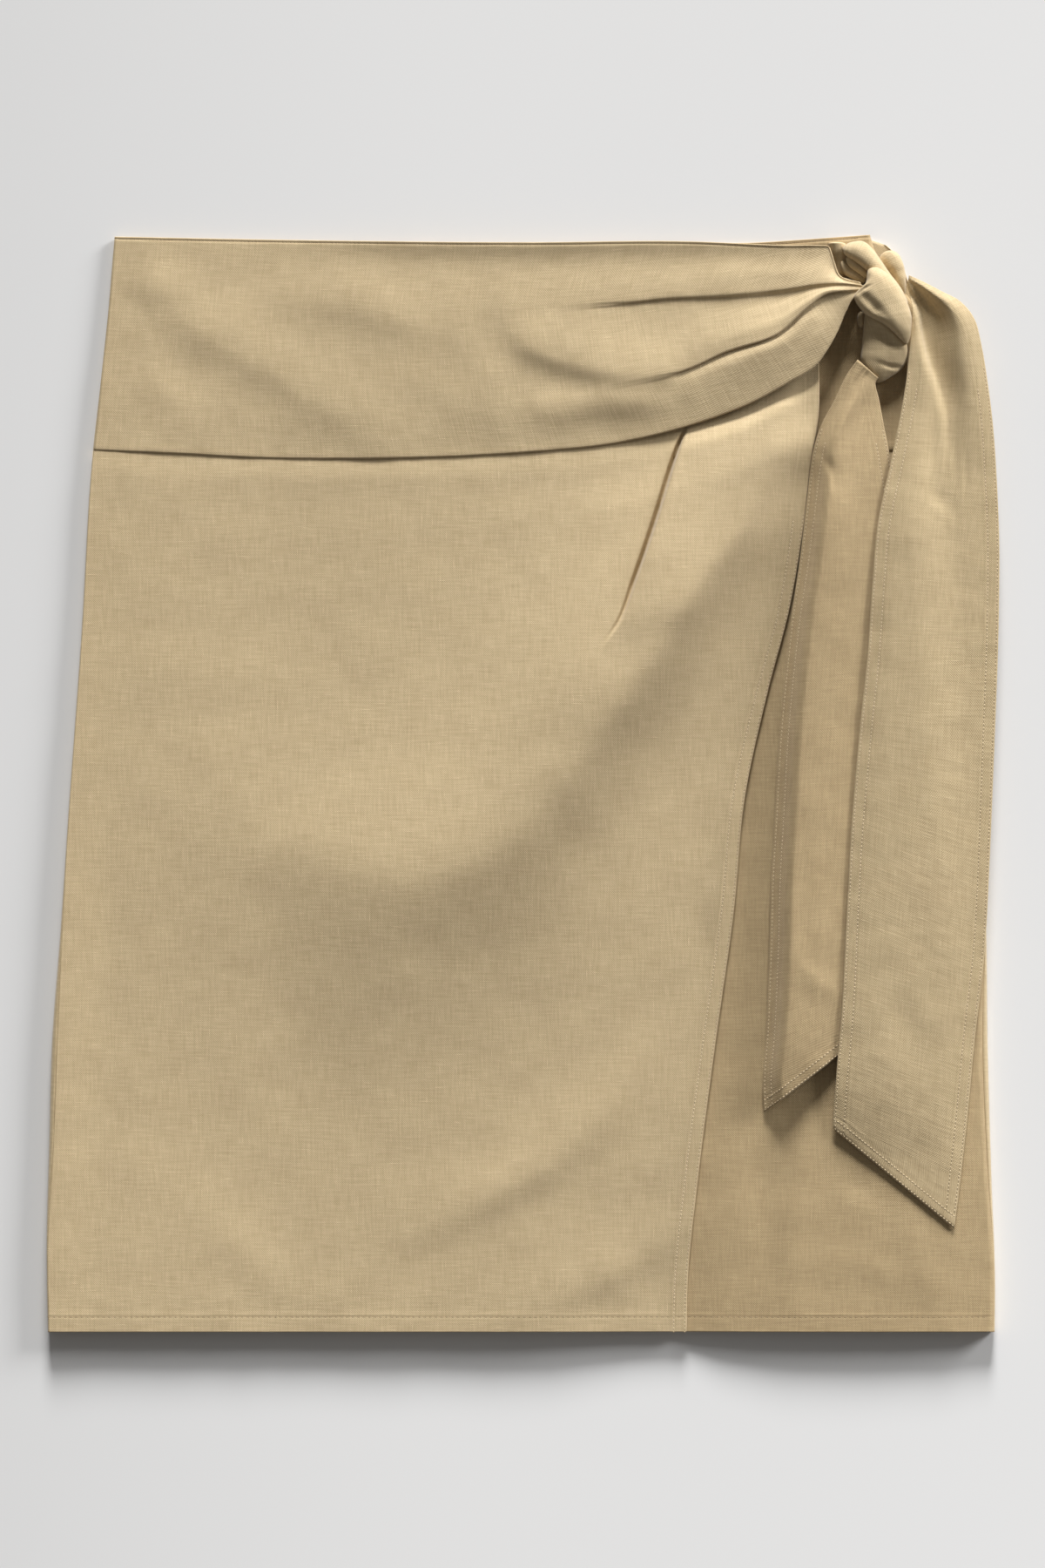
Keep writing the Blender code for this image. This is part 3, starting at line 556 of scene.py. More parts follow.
def frontYokeGrid():
    grid, grain = [], []
    total = 410.0
    for u in np.linspace(0.0, 1.0, yokeLook["stations"]):
        bottom, two, one, top = (railAt(rows, u) for rows in (yokeBottomRows, foldTwoRows, foldOneRows, yokeTopRows))
        spots = [np.array([r["x"], r["y"]]) for r in (bottom, two, one, top)]
        cross = (spots[3] - spots[0]) / np.linalg.norm(spots[3] - spots[0])
        narrow = 1.0 - 0.75 * ramp((u - 0.86) / 0.14)
        xy, z = [], []

        def add(place, height):
            xy.append(place)
            z.append(height)

        def band(first, last, low, high, count):
            for t in np.linspace(0.0, 1.0, count + 1)[1:-1]:
                add(first + (last - first) * t, low + (high - low) * ramp(t))

        for out, drop in ((1.4, -1.0), (0.2, -0.85), (0.0, -0.45), (0.2, -0.12), (0.8, 0.0)):
            add(spots[0] + cross * out * narrow, bottom["z"] + drop)
        first = spots[0] + cross * 0.8 * narrow
        for spot, r, count in ((spots[1], two, yokeLook["bands"][0]), (spots[2], one, yokeLook["bands"][1])):
            offsets = foldOver(r["above"] - r["below"], 2.6) * narrow
            lower = z[-1]
            band(first, spot + cross * offsets[0], lower, r["below"], count)
            for offset, lift in zip(offsets, foldLift):
                add(spot + cross * offset, r["below"] + (r["above"] - r["below"]) * lift)
            first = spot + cross * offsets[-1]
        last = spots[3] - cross * 4.0 * narrow
        band(first, last, z[-1], top["z"], yokeLook["bands"][2])
        for back in (4.0, 3.4, 2.8, 2.2, 1.6, 1.3, 1.0, 0.6, 0.2):
            add(spots[3] - cross * back * narrow, top["z"])
        for back, drop in ((0.0, -0.15), (0.0, -0.6), (0.3, -1.0)):
            add(spots[3] - cross * back * narrow, top["z"] + drop)
        xy, z = np.array(xy), np.array(z)
        x, y = xy[:, 0], xy[:, 1]
        fade = 1.0 - ramp((u - 0.9) / 0.08)
        edge = np.linalg.norm(xy - spots[3], axis=1) / narrow
        relief = softFolds(x, y, yokeFolds) * fade + 0.10 * crinkles(x, y, 21, 30) + 0.03 * crinkles(x, y, 22, 10)
        relief -= 0.25 * np.exp(-((edge - 1.25) / 0.5) ** 2)
        spread = np.linspace(-1.0, 1.0, len(x))
        gathers = ramp((u - 0.74) / 0.2) * (0.7 * np.sin(spread * 21.0 + 0.6) + 0.4 * np.sin(spread * 34.0 + 2.0))
        grid.append(np.stack([x, y, frontTop(x, y) + z + relief + gathers * fade * 0.2], axis=1))
        girth = np.concatenate([[0.0], np.cumsum(np.hypot(np.diff(x), np.diff(y)))])
        grain.append(np.stack([np.full(len(x), u * total), girth - girth[-1] / 2], axis=1))
    return np.array(grid), np.array(grain)


yokePoints, yokeGrain = frontYokeGrid()
frontYoke = clothPiece("frontYoke", yokePoints, yokeGrain, yokeLook["thickness"])
declare(frontYoke, "front_yoke")


# ---- overlapping front, with its pleat under the yoke

pleatRows = table("y x step", (-290, 0.0, 0.0), (-140, 10.0, 0.0), (-20, 24.0, 0.0), (50, 36.0, 0.0),
                  (74, 44.2, 0.3), (84.6, 51.1, 1.1), (107.6, 59.8, 2.3), (120.5, 64.4, 3.0), (144, 72.2, 3.4),
                  (168, 79.6, 3.2), (180, 83.6, 2.6), (188, 86.5, 1.8), (203, 93.0, 1.2), (219, 99.0, 1.0))
edgeRows = table("y x", (-290, 86.5), (-262, 87.2), (-209, 92.5), (-138, 101.7), (-65, 111.8), (-9, 117.1),
                 (51, 130.2), (91.5, 140.8), (132, 147.7), (173, 152.7), (190, 155.8), (219, 156.4), (226, 156.4))
panelLook = {"thickness": 0.6, "rows": 190, "leftCells": 118, "rightCells": 36, "tuckUnder": 14.0, "tuckDrop": 0.5,
             "facing": 7.6, "drapeStart": 36.0, "pleatDip": 4.2, "pullFade": 64.0}
drapeLine = [(133, 170), (117, 140), (94, 109), (69, 71), (43, 34), (19, -2), (-9, -29), (-46, -46), (-83, -46),
             (-120, -33), (-143, -10)]
drapeRidges = [
    {"line": drapeLine, "samples": 90, "power": 1.7, "left": (14, 18, 23, 27, 31, 37, 41, 42, 38),
     "right": (42, 47, 54, 60, 64, 72, 76, 70, 54), "height": (7.0, 12.0, 16.8, 17.4, 14.0, 9.8, 6.6, 4.0, 1.7)},
    {"line": [(62, 12), (32, -30), (0, -60), (-70, -90), (-130, -60)], "samples": 60, "power": 2.0,
     "left": 60, "right": 90, "height": (0.5, 2.2, 4.4, 4.6, 2.0)},
]
panelFolds = [
    {"line": [(-136, 173), (-60, 172), (60, 181)], "left": 14, "right": 14, "height": 0.5},
    {"line": [(64, -148), (28, -188), (-20, -220), (-60, -236)], "left": 11, "right": 17, "height": (0.4, 1.8, 1.6, 0.4)},
    {"line": [(84, -236), (44, -260), (0, -278)], "left": 9, "right": 18, "height": (0.5, 1.4, 0.4)},
    {"line": [(123, 16), (113, -14), (104, -54), (100, -84)], "left": 5, "right": 6, "height": (0.2, 1.5, 1.5, 0.3)},
    {"line": [(152, 176), (146, 130), (140, 92)], "left": 11, "right": 9, "height": (1.4, 1.6, 0.6)},
    {"line": [(-160, -80), (-150, -150), (-120, -200)], "left": 20, "right": 20, "height": (0.2, 0.7, 0.3)},
    {"line": [(-200, -200), (-150, -250), (-110, -275)], "left": 12, "right": 12, "height": (0.2, 0.5, 0.3)},
    {"line": [(-190, 60), (-130, 50)], "left": 14, "right": 14, "height": 0.4},
    {"line": [(-214, 30), (-220, -60), (-216, -130)], "left": 9, "right": 12, "height": (0.1, -0.5, -0.1)},
]
pleatWall = table("across lift dip", (-3.6, 0.0, 0.0), (-2.8, 0.0, 0.1), (-2.2, 0.0, 0.38), (-1.6, 0.0, 0.78), (-1.0, 0.0, 1.0),
                  (-0.4, 0.05, 0.92), (0.0, 0.28, 0.66), (0.4, 0.56, 0.34), (0.8, 0.76, 0.12), (1.4, 0.91, 0.0),
                  (2.2, 1.0, 0.0), (3.6, 1.0, 0.0))
seamSpots = railAt(yokeBottomRows, np.linspace(0.0, 1.0, 801))


def yokeSeam(x):
    return np.interp(x, seamSpots["x"], seamSpots["y"])


def drape(x, y):  # the hanging folds, and the rise towards the lifted end of the yoke
    below = yokeSeam(x) - y
    pull = np.maximum(0.0, np.interp(x, seamSpots["x"], seamSpots["z"]) - 0.6) * ramp((x - 60.0) / 40.0) * (1 - 0.35 * ramp((x - 130.0) / 22.0))
    edge = smooth(y, edgeRows["y"], edgeRows["x"]) - x
    settle = 1 - 0.8 * (1 - ramp(edge / 24.0)) * (1 - ramp((y - 20.0) / 60.0))  # the free edge lies down on the underlap
    rise = softRidges(x, y, drapeRidges) * ramp(below / panelLook["drapeStart"]) * settle
    return rise + pull * (1 - ramp(below / panelLook["pullFade"]))


def panelSurface(x, y):
    relief = softFolds(x, y, panelFolds) + 0.10 * crinkles(x, y, 31, 34) + 0.03 * crinkles(x, y, 32, 11)
    relief += turnedEdge(y - cloth["hemY"], cloth["hemWidth"])
    edge = smooth(y, edgeRows["y"], edgeRows["x"]) - x
    relief += turnedEdge(edge, panelLook["facing"], 0.2, 0.12, 6.7) - 0.1 * np.exp(-((edge - 0.9) / 0.5) ** 2)
    return frontTop(x, y) + relief + drape(x, y)


def frontPanelGrid():
    rows = np.concatenate([np.linspace(0.0, 0.022, 24), np.linspace(0.026, 1.0, panelLook["rows"])])
    leftShares = np.concatenate([[0.0, 0.001, 0.003, 0.008], np.linspace(0.016, 1.0, panelLook["leftCells"])])
    rightShares = np.linspace(0.0, 1.0, panelLook["rightCells"])[1:]
    facing = np.concatenate([np.arange(8.5, 0.3, -0.5), [0.2, 0.0]])
    grid = []
    for v in rows:
        x = np.zeros(len(leftShares) - 1 + len(pleatWall["across"]) + len(rightShares) + len(facing))
        lift = np.zeros(len(x))
        for _ in range(6):
            y = cloth["hemY"] + v * (yokeSeam(x) + 3.5 - cloth["hemY"])
            pleatY = float(np.interp(0.0, [0.0], [y[len(leftShares) + 4]]))
            step = float(smooth(pleatY, pleatRows["y"], pleatRows["step"]))
            pleatX = float(smooth(pleatY, pleatRows["y"], pleatRows["x"]))
            offsets = pleatWall["across"]
            yl = y[:len(leftShares) - 1]
            sideX = leftSide(yl) + seamInset(yl)
            left = sideX + leftShares[:-1] * (pleatX + offsets[0] - sideX)
            edgeX = smooth(y, edgeRows["y"], edgeRows["x"])
            start = pleatX + offsets[-1]
            right = start + rightShares * (edgeX[-len(facing) - 1] - 8.5 - start - 0.4)
            x = np.concatenate([left, pleatX + offsets, right, edgeX[-len(facing):] - facing])
        lift[len(left):len(left) + len(offsets)] = step * pleatWall["lift"] - panelLook["pleatDip"] * ramp(step / 3.0) * pleatWall["dip"]
        rest = x[len(left) + len(offsets):]
        lift[len(left) + len(offsets):] = step * (1 - ramp((rest - start) / (edgeX[-1] - start)))
        under = ramp((yokeSeam(x) + 1.0 - y) / panelLook["tuckUnder"])
        z = frontTop(x, y) - panelLook["tuckDrop"] * (1 - under) + (panelSurface(x, y) - frontTop(x, y) + lift) * (0.25 + 0.75 * under)
        z[-2:] -= [0.12, 0.45]
        grid.append(np.stack([x, y, z], axis=1))
    return np.array(grid)


panelPoints = frontPanelGrid()
frontPanel = clothPiece("frontPanel", panelPoints, panelPoints[:, :, :2], panelLook["thickness"])
declare(frontPanel, "front_panel")


# ---- the two hanging ends

shortRows = table(
    "leftX leftY rightX rightY edgeL quarterL middle quarterR edgeR flank",
    (176.5, 223.0, 187.5, 213.5, 7.4, 8.4, 8.4, 8.0, 7.8, 0.6), (170.5, 214.5, 186.0, 210.0, 7.6, 9.2, 8.4, 7.8, 7.4, 3.0),
    (163.8, 200.6, 188.0, 201.5, 8.6, 9.4, 8.4, 8.0, 7.2, 5.6), (157.3, 188.1, 190.6, 187.5, 9.4, 9.6, 8.6, 8.0, 6.6, 8.0),
    (152.7, 172.5, 193.6, 171.8, 10.2, 10.2, 9.0, 8.0, 6.0, 9.4), (149.5, 145.8, 197.5, 145.5, 10.8, 10.6, 8.8, 6.4, 2.2, 10.2),
    (145.8, 115.0, 200.0, 114.5, 11.2, 11.0, 8.4, 4.8, 0.8, 10.8), (140.8, 79.6, 200.0, 84.0, 11.4, 11.0, 8.0, 4.0, 0.4, 11.0),
    (135.7, 28.5, 198.0, 34.0, 11.4, 11.0, 7.8, 3.7, 0.2, 11.0), (133.3, -13.0, 195.5, -7.0, 11.4, 11.0, 7.8, 3.6, 0.1, 11.0),
    (131.2, -50.0, 192.6, -46.0, 11.4, 11.0, 7.7, 3.5, 0.0, 11.0), (130.1, -91.0, 189.6, -82.0, 11.4, 11.0, 7.4, 3.4, 0.0, 11.0),
    (128.5, -131.0, 187.0, -112.0, 11.2, 10.8, 7.0, 3.2, 0.0, 10.8), (126.8, -155.9, 186.0, -124.0, 10.0, 9.8, 6.4, 2.8, 0.0, 9.6),
    (127.4, -173.6, 185.0, -129.6, 7.6, 7.8, 5.6, 2.4, 0.0, 7.2))
longRows = table(
    "leftX leftY rightX rightY edgeL quarterL middle quarterR edgeR flank",
    (202.6, 262.0, 203.8, 267.6, 9.0, 9.2, 9.2, 9.2, 8.8, 0.0), (204.0, 257.6, 211.2, 264.3, 9.4, 9.8, 9.4, 10.4, 8.2, 0.2),
    (205.4, 250.6, 221.0, 259.2, 9.2, 10.2, 8.0, 11.0, 7.4, 0.8), (205.3, 243.0, 231.2, 253.6, 9.0, 10.4, 7.8, 10.8, 6.8, 1.2),
    (204.3, 234.6, 238.6, 244.0, 8.8, 10.0, 7.6, 10.2, 6.2, 1.4), (203.2, 223.0, 242.4, 229.0, 9.0, 9.6, 7.8, 9.4, 5.6, 1.4),
    (202.0, 211.0, 245.2, 212.0, 8.2, 8.6, 7.2, 8.4, 4.8, 1.4), (198.7, 192.0, 248.0, 190.0, 6.6, 6.8, 6.0, 6.8, 4.2, 1.4),
    (194.1, 169.7, 249.8, 166.0, 6.2, 6.0, 5.2, 5.4, 3.6, 1.2), (187.2, 137.0, 251.4, 130.0, 6.2, 6.0, 5.2, 4.8, 3.2, 1.2),
    (184.3, 106.0, 251.4, 100.0, 6.0, 5.8, 5.0, 4.3, 2.8, 1.2), (181.5, 66.0, 250.7, 67.2, 5.8, 5.5, 4.7, 3.9, 2.6, 1.2),
    (177.6, 28.5, 248.9, 20.0, 5.6, 5.2, 4.3, 3.4, 2.2, 1.1), (173.4, -20.7, 246.1, -46.5, 5.3, 4.8, 3.7, 2.8, 1.8, 1.0),
    (171.0, -64.0, 243.6, -90.0, 5.0, 4.4, 3.1, 2.2, 1.4, 0.9), (168.4, -116.4, 238.3, -137.1, 4.4, 3.7, 2.5, 1.7, 1.0, 0.7),
    (165.6, -150.0, 234.6, -175.7, 3.4, 2.8, 1.8, 1.1, 0.6, 0.5), (163.8, -177.5, 230.9, -209.0, 1.2, 1.0, 0.7, 0.5, 0.3, 0.2),
    (164.2, -182.6, 227.6, -235.0, 0.4, 0.3, 0.2, 0.1, 0.1, 0.1))
tailLook = {"thickness": 0.6, "ride": 2.5, "crossingTop": 190.0, "topFade": 50.0, "crossingFoot": -212.0, "fade": 56.0,
            "edgeClear": 3.0, "edgeFall": 45.0, "crossFall": 45.0, "facing": 7.2, "seam": 6.3, "flankWidth": 12.0, "cells": 50, "stations": 290}
shortFolds = [
    {"line": [(181.5, 209), (172, 197), (163, 183), (157, 168)], "left": 5.0, "right": 5.0, "height": (0.6, 1.0, 1.0, 0.3)},
    {"line": [(184, 212), (182, 198), (179, 182), (176, 160), (176, 130)], "left": 9.0, "right": 7.0, "height": (-1.6, -1.8, -1.2, -0.6, -0.1)},
    {"line": [(157, 173), (162, 166), (164.5, 156)], "left": 3.0, "right": 2.0, "height": (-0.2, -1.0, -0.2)},
    {"line": [(172, 160), (166, 140), (163, 110)], "left": 7.0, "right": 9.0, "height": (0.1, 0.7, 0.2)},
    {"line": [(150, -10), (148, -50), (146, -100)], "left": 5.0, "right": 4.0, "height": (0.1, -0.6, -0.1)},
    {"line": [(159, -50), (156, -90), (154, -135)], "left": 3.5, "right": 4.5, "height": (0.1, 0.6, 0.1)},
    {"line": [(140, -70), (150, -100), (166, -112)], "left": 5.0, "right": 5.0, "height": (0.1, 0.5, 0.1)},
]
longFolds = [
    {"line": [(203, 259.0), (208, 253.5), (210.5, 247), (211.8, 240), (213.5, 231), (217, 219), (221.8, 206), (224.5, 192), (226, 172)],
     "left": (8.0, 9.0, 9.0, 9.0, 8.0), "right": (2.0, 2.0, 2.4, 3.4, 3.4), "height": (-2.6, -5.4, -6.4, -6.8, -6.4, -5.8, -4.0, -1.6, -0.2)},
    {"line": [(216, 228), (216.5, 202), (216, 176), (215.5, 145)], "left": 4.0, "right": 4.0, "height": (-0.2, -0.9, -0.7, -0.1)},
    {"line": [(223, 204), (224, 182), (223, 158)], "left": 1.8, "right": 1.8, "height": (0.0, -0.45, 0.0)},
    {"line": [(227.5, 196), (228, 172), (229, 150)], "left": 2.0, "right": 1.8, "height": (0.0, -0.45, 0.0)},
    {"line": [(233.5, 186), (234, 160), (234.5, 142)], "left": 1.8, "right": 1.8, "height": (0.0, -0.35, 0.0)},
    {"line": [(212, 160), (221, 148), (234, 138)], "left": 6.0, "right": 3.5, "height": (0.0, -0.7, -0.1)},
    {"line": [(193, 120), (192, 40), (186, -40)], "left": 6, "right": 9, "height": (0.1, 0.5, 0.1)},
    {"line": [(240, 90), (236, -10), (229, -110)], "left": 9, "right": 6, "height": (0.1, 0.6, 0.1)},
    {"line": [(185, -90), (205, -130), (222, -150)], "left": 9, "right": 9, "height": (-0.1, -0.5, -0.1)},
]


def shortFloor(x, y):  # the overlap beside its edge and the underlap past it
    edge = smooth(y, edgeRows["y"], edgeRows["x"])
    cover = 1.0 - ramp((x - edge - tailLook["edgeClear"]) / tailLook["edgeFall"])
    return underTop(x, y) + cover * (frontTop(x, y) + drape(x, y) - underTop(x, y))


def longFloor(x, y):  # the short end where the two cross, and the underlap past it
    side = np.interp(y, shortRows["rightY"][::-1], shortRows["rightX"][::-1])
    cover = 1.0 - ramp((x - side - tailLook["edgeClear"]) / tailLook["crossFall"])
    fade = tailLook["fade"]
    cover *= ramp((tailLook["crossingTop"] + tailLook["topFade"] - y) / tailLook["topFade"]) * ramp((y - tailLook["crossingFoot"]) / fade)
    return underTop(x, y) + tailLook["ride"] * cover


def tailGrid(rows, floorTop, folds, seed):
    columns = ("edgeL", "quarterL", "middle", "quarterR", "edgeR")
    places = np.linspace(0.0, 1.0, len(columns))
    reach = np.concatenate([[0.0], np.cumsum(np.hypot(np.diff(rows["leftX"]), np.diff(rows["leftY"])))])
    last = sectionAt(rows, 1.0)
    endLine = [(float(last["leftX"]), float(last["leftY"])), (float(last["rightX"]), float(last["rightY"]))]
    index = np.linspace(0.0, 1.0, len(reach))
    distances = np.concatenate([np.linspace(0.0, reach[-1] - 9.0, tailLook["stations"]),
                                np.arange(reach[-1] - 8.6, reach[-1] - 0.3, 0.45), [reach[-1] - 0.2, reach[-1]]])
    rim = np.array([0.0, 0.0, 0.2, 0.6, 0.9, 1.2, 1.6, 2.2, 3.2, 4.4, 5.4, 5.9, 6.3, 6.7, 7.2, 7.7, 8.3])
    rimDrop = np.array([-0.9, -0.45, -0.12] + [0.0] * (len(rim) - 3))
    grid, grain = [], []
    for distance in distances:
        s = sectionAt(rows, np.interp(distance, reach, index))
        width = float(np.hypot(s["rightX"] - s["leftX"], s["rightY"] - s["leftY"]))
        squeeze = min(1.0, width / 24.0)
        inner = np.linspace(8.3 * squeeze, width - 8.3 * squeeze, tailLook["cells"])[1:-1]
        across = np.concatenate([rim * squeeze, inner, (width - rim * squeeze)[::-1]])
        drop = np.concatenate([rimDrop, 0 * inner, rimDrop[::-1]])
        v = across / width
        x = s["leftX"] + v * (s["rightX"] - s["leftX"])
        y = s["leftY"] + v * (s["rightY"] - s["leftY"])
        heights = np.array([float(s[column]) for column in columns])
        z = floorTop(x, y) + cloth["gap"] + smooth(v, places, heights) + cloth["wall"] + drop
        z -= s["flank"] * (1 - ramp(across / tailLook["flankWidth"]))
        z += softFolds(x, y, folds) + 0.10 * crinkles(x, y, seed, 22) + 0.03 * crinkles(x, y, seed + 1, 8, stretch=1.8)
        end = lineDistance(x, y, endLine)[0]
        for edge in (across, width - across, end):
            z += turnedEdge(edge, tailLook["facing"], 0.12, 0.1, tailLook["seam"])
            z -= 0.1 * np.exp(-((edge - 1.0) / 0.45) ** 2)
        z -= 0.7 * np.exp(-(end / 0.35) ** 2)
        grid.append(np.stack([x, y, z], axis=1))
        grain.append(np.stack([across - width / 2 + seed * 40.0, np.full(len(x), -distance)], axis=1))
    return np.array(grid), np.array(grain)


shortPoints, shortGrain = tailGrid(shortRows, shortFloor, shortFolds, 41)
tailShort = clothPiece("tailShort", shortPoints, shortGrain, tailLook["thickness"], linenShortShaded)
longPoints, longGrain = tailGrid(longRows, longFloor, longFolds, 51)
tailLong = clothPiece("tailLong", longPoints, longGrain, tailLook["thickness"], linenLongShaded)


# ---- the knot, each stretch of it a flattened roll with its creases

knotLook = {"thickness": 0.6, "stations": 72, "cells": 56, "under": 0.7, "flatness": 0.5, "tuck": 3.2}
stripRolls = [
    {"rows": table("leftX leftY rightX rightY low crown", (187.4, 277.6, 193.0, 281.8, 5.0, 8.6),
                   (189.6, 273.6, 198.0, 279.4, 5.0, 10.8), (192.6, 268.6, 200.8, 274.4, 5.0, 11.4),
                   (196.0, 263.4, 202.2, 267.6, 5.0, 11.0), (199.0, 258.4, 202.2, 260.8, 5.0, 10.0),
                   (200.4, 255.4, 201.6, 256.4, 5.0, 8.6)),
     "start": 0.10, "end": 0.12, "lean": -0.1, "folds": [
         {"line": [(189, 277), (192, 272), (196, 266)], "left": 2.0, "right": 1.5, "height": -0.9}]},
]
loopRolls = [
    {"rows": table("leftX leftY rightX rightY low crown", (168.2, 281.0, 169.2, 283.4, 9.0, 12.6),
                   (170.6, 278.0, 173.4, 285.2, 9.0, 14.8), (174.8, 275.2, 179.6, 285.6, 9.0, 16.2),
                   (179.8, 271.2, 184.8, 281.4, 9.0, 16.8), (184.6, 267.4, 189.2, 275.4, 9.0, 16.8),
                   (189.4, 262.6, 194.0, 268.4, 9.0, 16.4), (194.0, 257.4, 199.2, 261.6, 9.0, 15.6),
                   (199.4, 250.4, 204.8, 251.6, 9.0, 14.0)),
     "start": 0.10, "end": 0.06, "lean": 0.12, "folds": [
         {"line": [(171, 282), (178, 281), (186, 275)], "left": 3.5, "right": 3.5, "height": 0.5}]},
    {"rows": table("leftX leftY rightX rightY low crown", (169.8, 275.2, 171.6, 279.2, 8.0, 11.4),
                   (173.4, 271.2, 176.0, 275.6, 8.0, 12.6), (178.0, 267.8, 180.4, 271.8, 8.0, 13.0),
                   (181.6, 265.0, 184.6, 268.8, 8.0, 12.6)),
     "start": 0.2, "end": 0.1, "lean": 0.0, "folds": []},
    {"rows": table("leftX leftY rightX rightY low crown", (167.2, 273.8, 168.8, 276.4, 6.0, 9.0),
                   (169.8, 268.4, 172.8, 273.2, 6.0, 10.4), (174.6, 265.0, 177.6, 269.6, 6.0, 11.2),
                   (180.2, 262.4, 183.4, 266.6, 6.0, 11.0)),
     "start": 0.2, "end": 0.1, "lean": 0.1, "folds": []},
    {"rows": table("leftX leftY rightX rightY low crown", (161.4, 285.4, 170.0, 285.4, 3.5, 11.0),
                   (161.8, 280.4, 172.0, 280.6, 3.0, 9.6), (163.0, 274.0, 173.0, 274.6, 3.0, 7.2),
                   (165.0, 267.0, 174.0, 267.6, 3.0, 5.4)),
     "start": 0.06, "end": 0.1, "lean": 0.1, "folds": []},
    {"rows": table("leftX leftY rightX rightY low crown", (165.8, 264.0, 166.6, 266.0, 7.0, 13.0),
                   (168.4, 261.6, 170.6, 266.2, 7.0, 14.2), (172.0, 261.4, 174.6, 264.6, 7.0, 14.4),
                   (176.0, 260.8, 178.0, 262.6, 7.0, 13.6)),
     "start": 0.15, "end": 0.15, "lean": 0.1, "folds": [
         {"line": [(167, 264.6), (171, 263.8), (175, 262.6)], "left": 0.8, "right": 0.8, "height": -0.6}]},
]
turnRolls = [
    {"rows": table("leftX leftY rightX rightY low crown", (180.6, 252.0, 188.0, 250.0, 9.0, 14.0),
                   (180.2, 245.0, 194.4, 244.0, 9.0, 16.0), (179.6, 237.4, 200.6, 236.6, 9.0, 17.0),
                   (178.9, 229.6, 203.2, 229.8, 9.0, 17.4), (178.4, 223.6, 203.2, 224.2, 9.0, 17.0),
                   (180.4, 217.4, 199.6, 218.0, 9.0, 15.8), (184.0, 212.6, 192.4, 213.0, 9.0, 13.6),
                   (186.4, 211.0, 189.0, 211.0, 9.0, 11.4)),
     "start": 0.10, "end": 0.10, "lean": 0.0, "folds": [
         {"line": [(184, 244), (190, 240.5), (197, 234), (202.4, 229.5)], "left": 2.4, "right": 2.4, "height": (0.8, 1.6, 1.4, 0.6)},
         {"line": [(184, 240), (190, 235), (198, 229)], "left": 3.2, "right": 2.4, "height": (-0.6, -1.6, -0.8)},
         {"line": [(188, 221.5), (194, 219.6), (200.6, 218.6)], "left": 1.0, "right": 1.3, "height": (-0.3, -1.3, -2.0)},
         {"line": [(179.2, 222.6), (182.6, 215.6), (186.6, 211.4)], "left": 0.6, "right": 0.6, "height": -0.5}]},
    {"rows": table("leftX leftY rightX rightY low crown", (177.0, 248.6, 180.8, 249.0, 3.0, 8.4),
                   (176.6, 244.0, 181.0, 244.6, 3.0, 9.6), (177.4, 239.6, 180.8, 239.8, 3.0, 8.8)),
     "start": 0.2, "end": 0.25, "lean": 0.0, "folds": []},
]
bandRolls = [
    {"rows": table("leftX leftY rightX rightY low crown", (181.4, 268.4, 182.4, 271.6, 15.0, 19.6),
                   (180.8, 263.4, 187.2, 271.4, 15.0, 22.0), (176.6, 259.4, 192.4, 268.2, 15.0, 23.4),
                   (174.6, 256.0, 196.4, 264.0, 15.0, 24.2), (177.0, 251.0, 200.0, 258.8, 15.0, 24.4),
                   (181.4, 246.4, 203.2, 251.8, 15.0, 24.0), (189.4, 242.0, 205.0, 245.0, 15.0, 23.2),
                   (196.0, 236.8, 204.8, 238.0, 15.0, 21.4), (201.0, 231.2, 203.6, 231.2, 15.0, 18.6)),
     "start": 0.07, "end": 0.08, "lean": 0.1, "folds": [
         {"line": [(175.4, 258.0), (181, 255.0), (186, 250), (191, 245.4)], "left": 2.4, "right": 3.0, "height": (-0.6, -1.6, -1.6, -0.4)},
         {"line": [(176.6, 257.8), (180.4, 260.4), (183.4, 262.0)], "left": 0.9, "right": 0.9, "height": (-0.8, -1.2, -0.3)},
         {"line": [(178.6, 262.6), (181, 264.4), (182, 267)], "left": 0.8, "right": 0.8, "height": (-1.2, -1.0, -0.3)},
         {"line": [(184, 269), (192, 263), (200, 255)], "left": 3.5, "right": 3.5, "height": (0.2, 0.6, 0.3)}]},
]


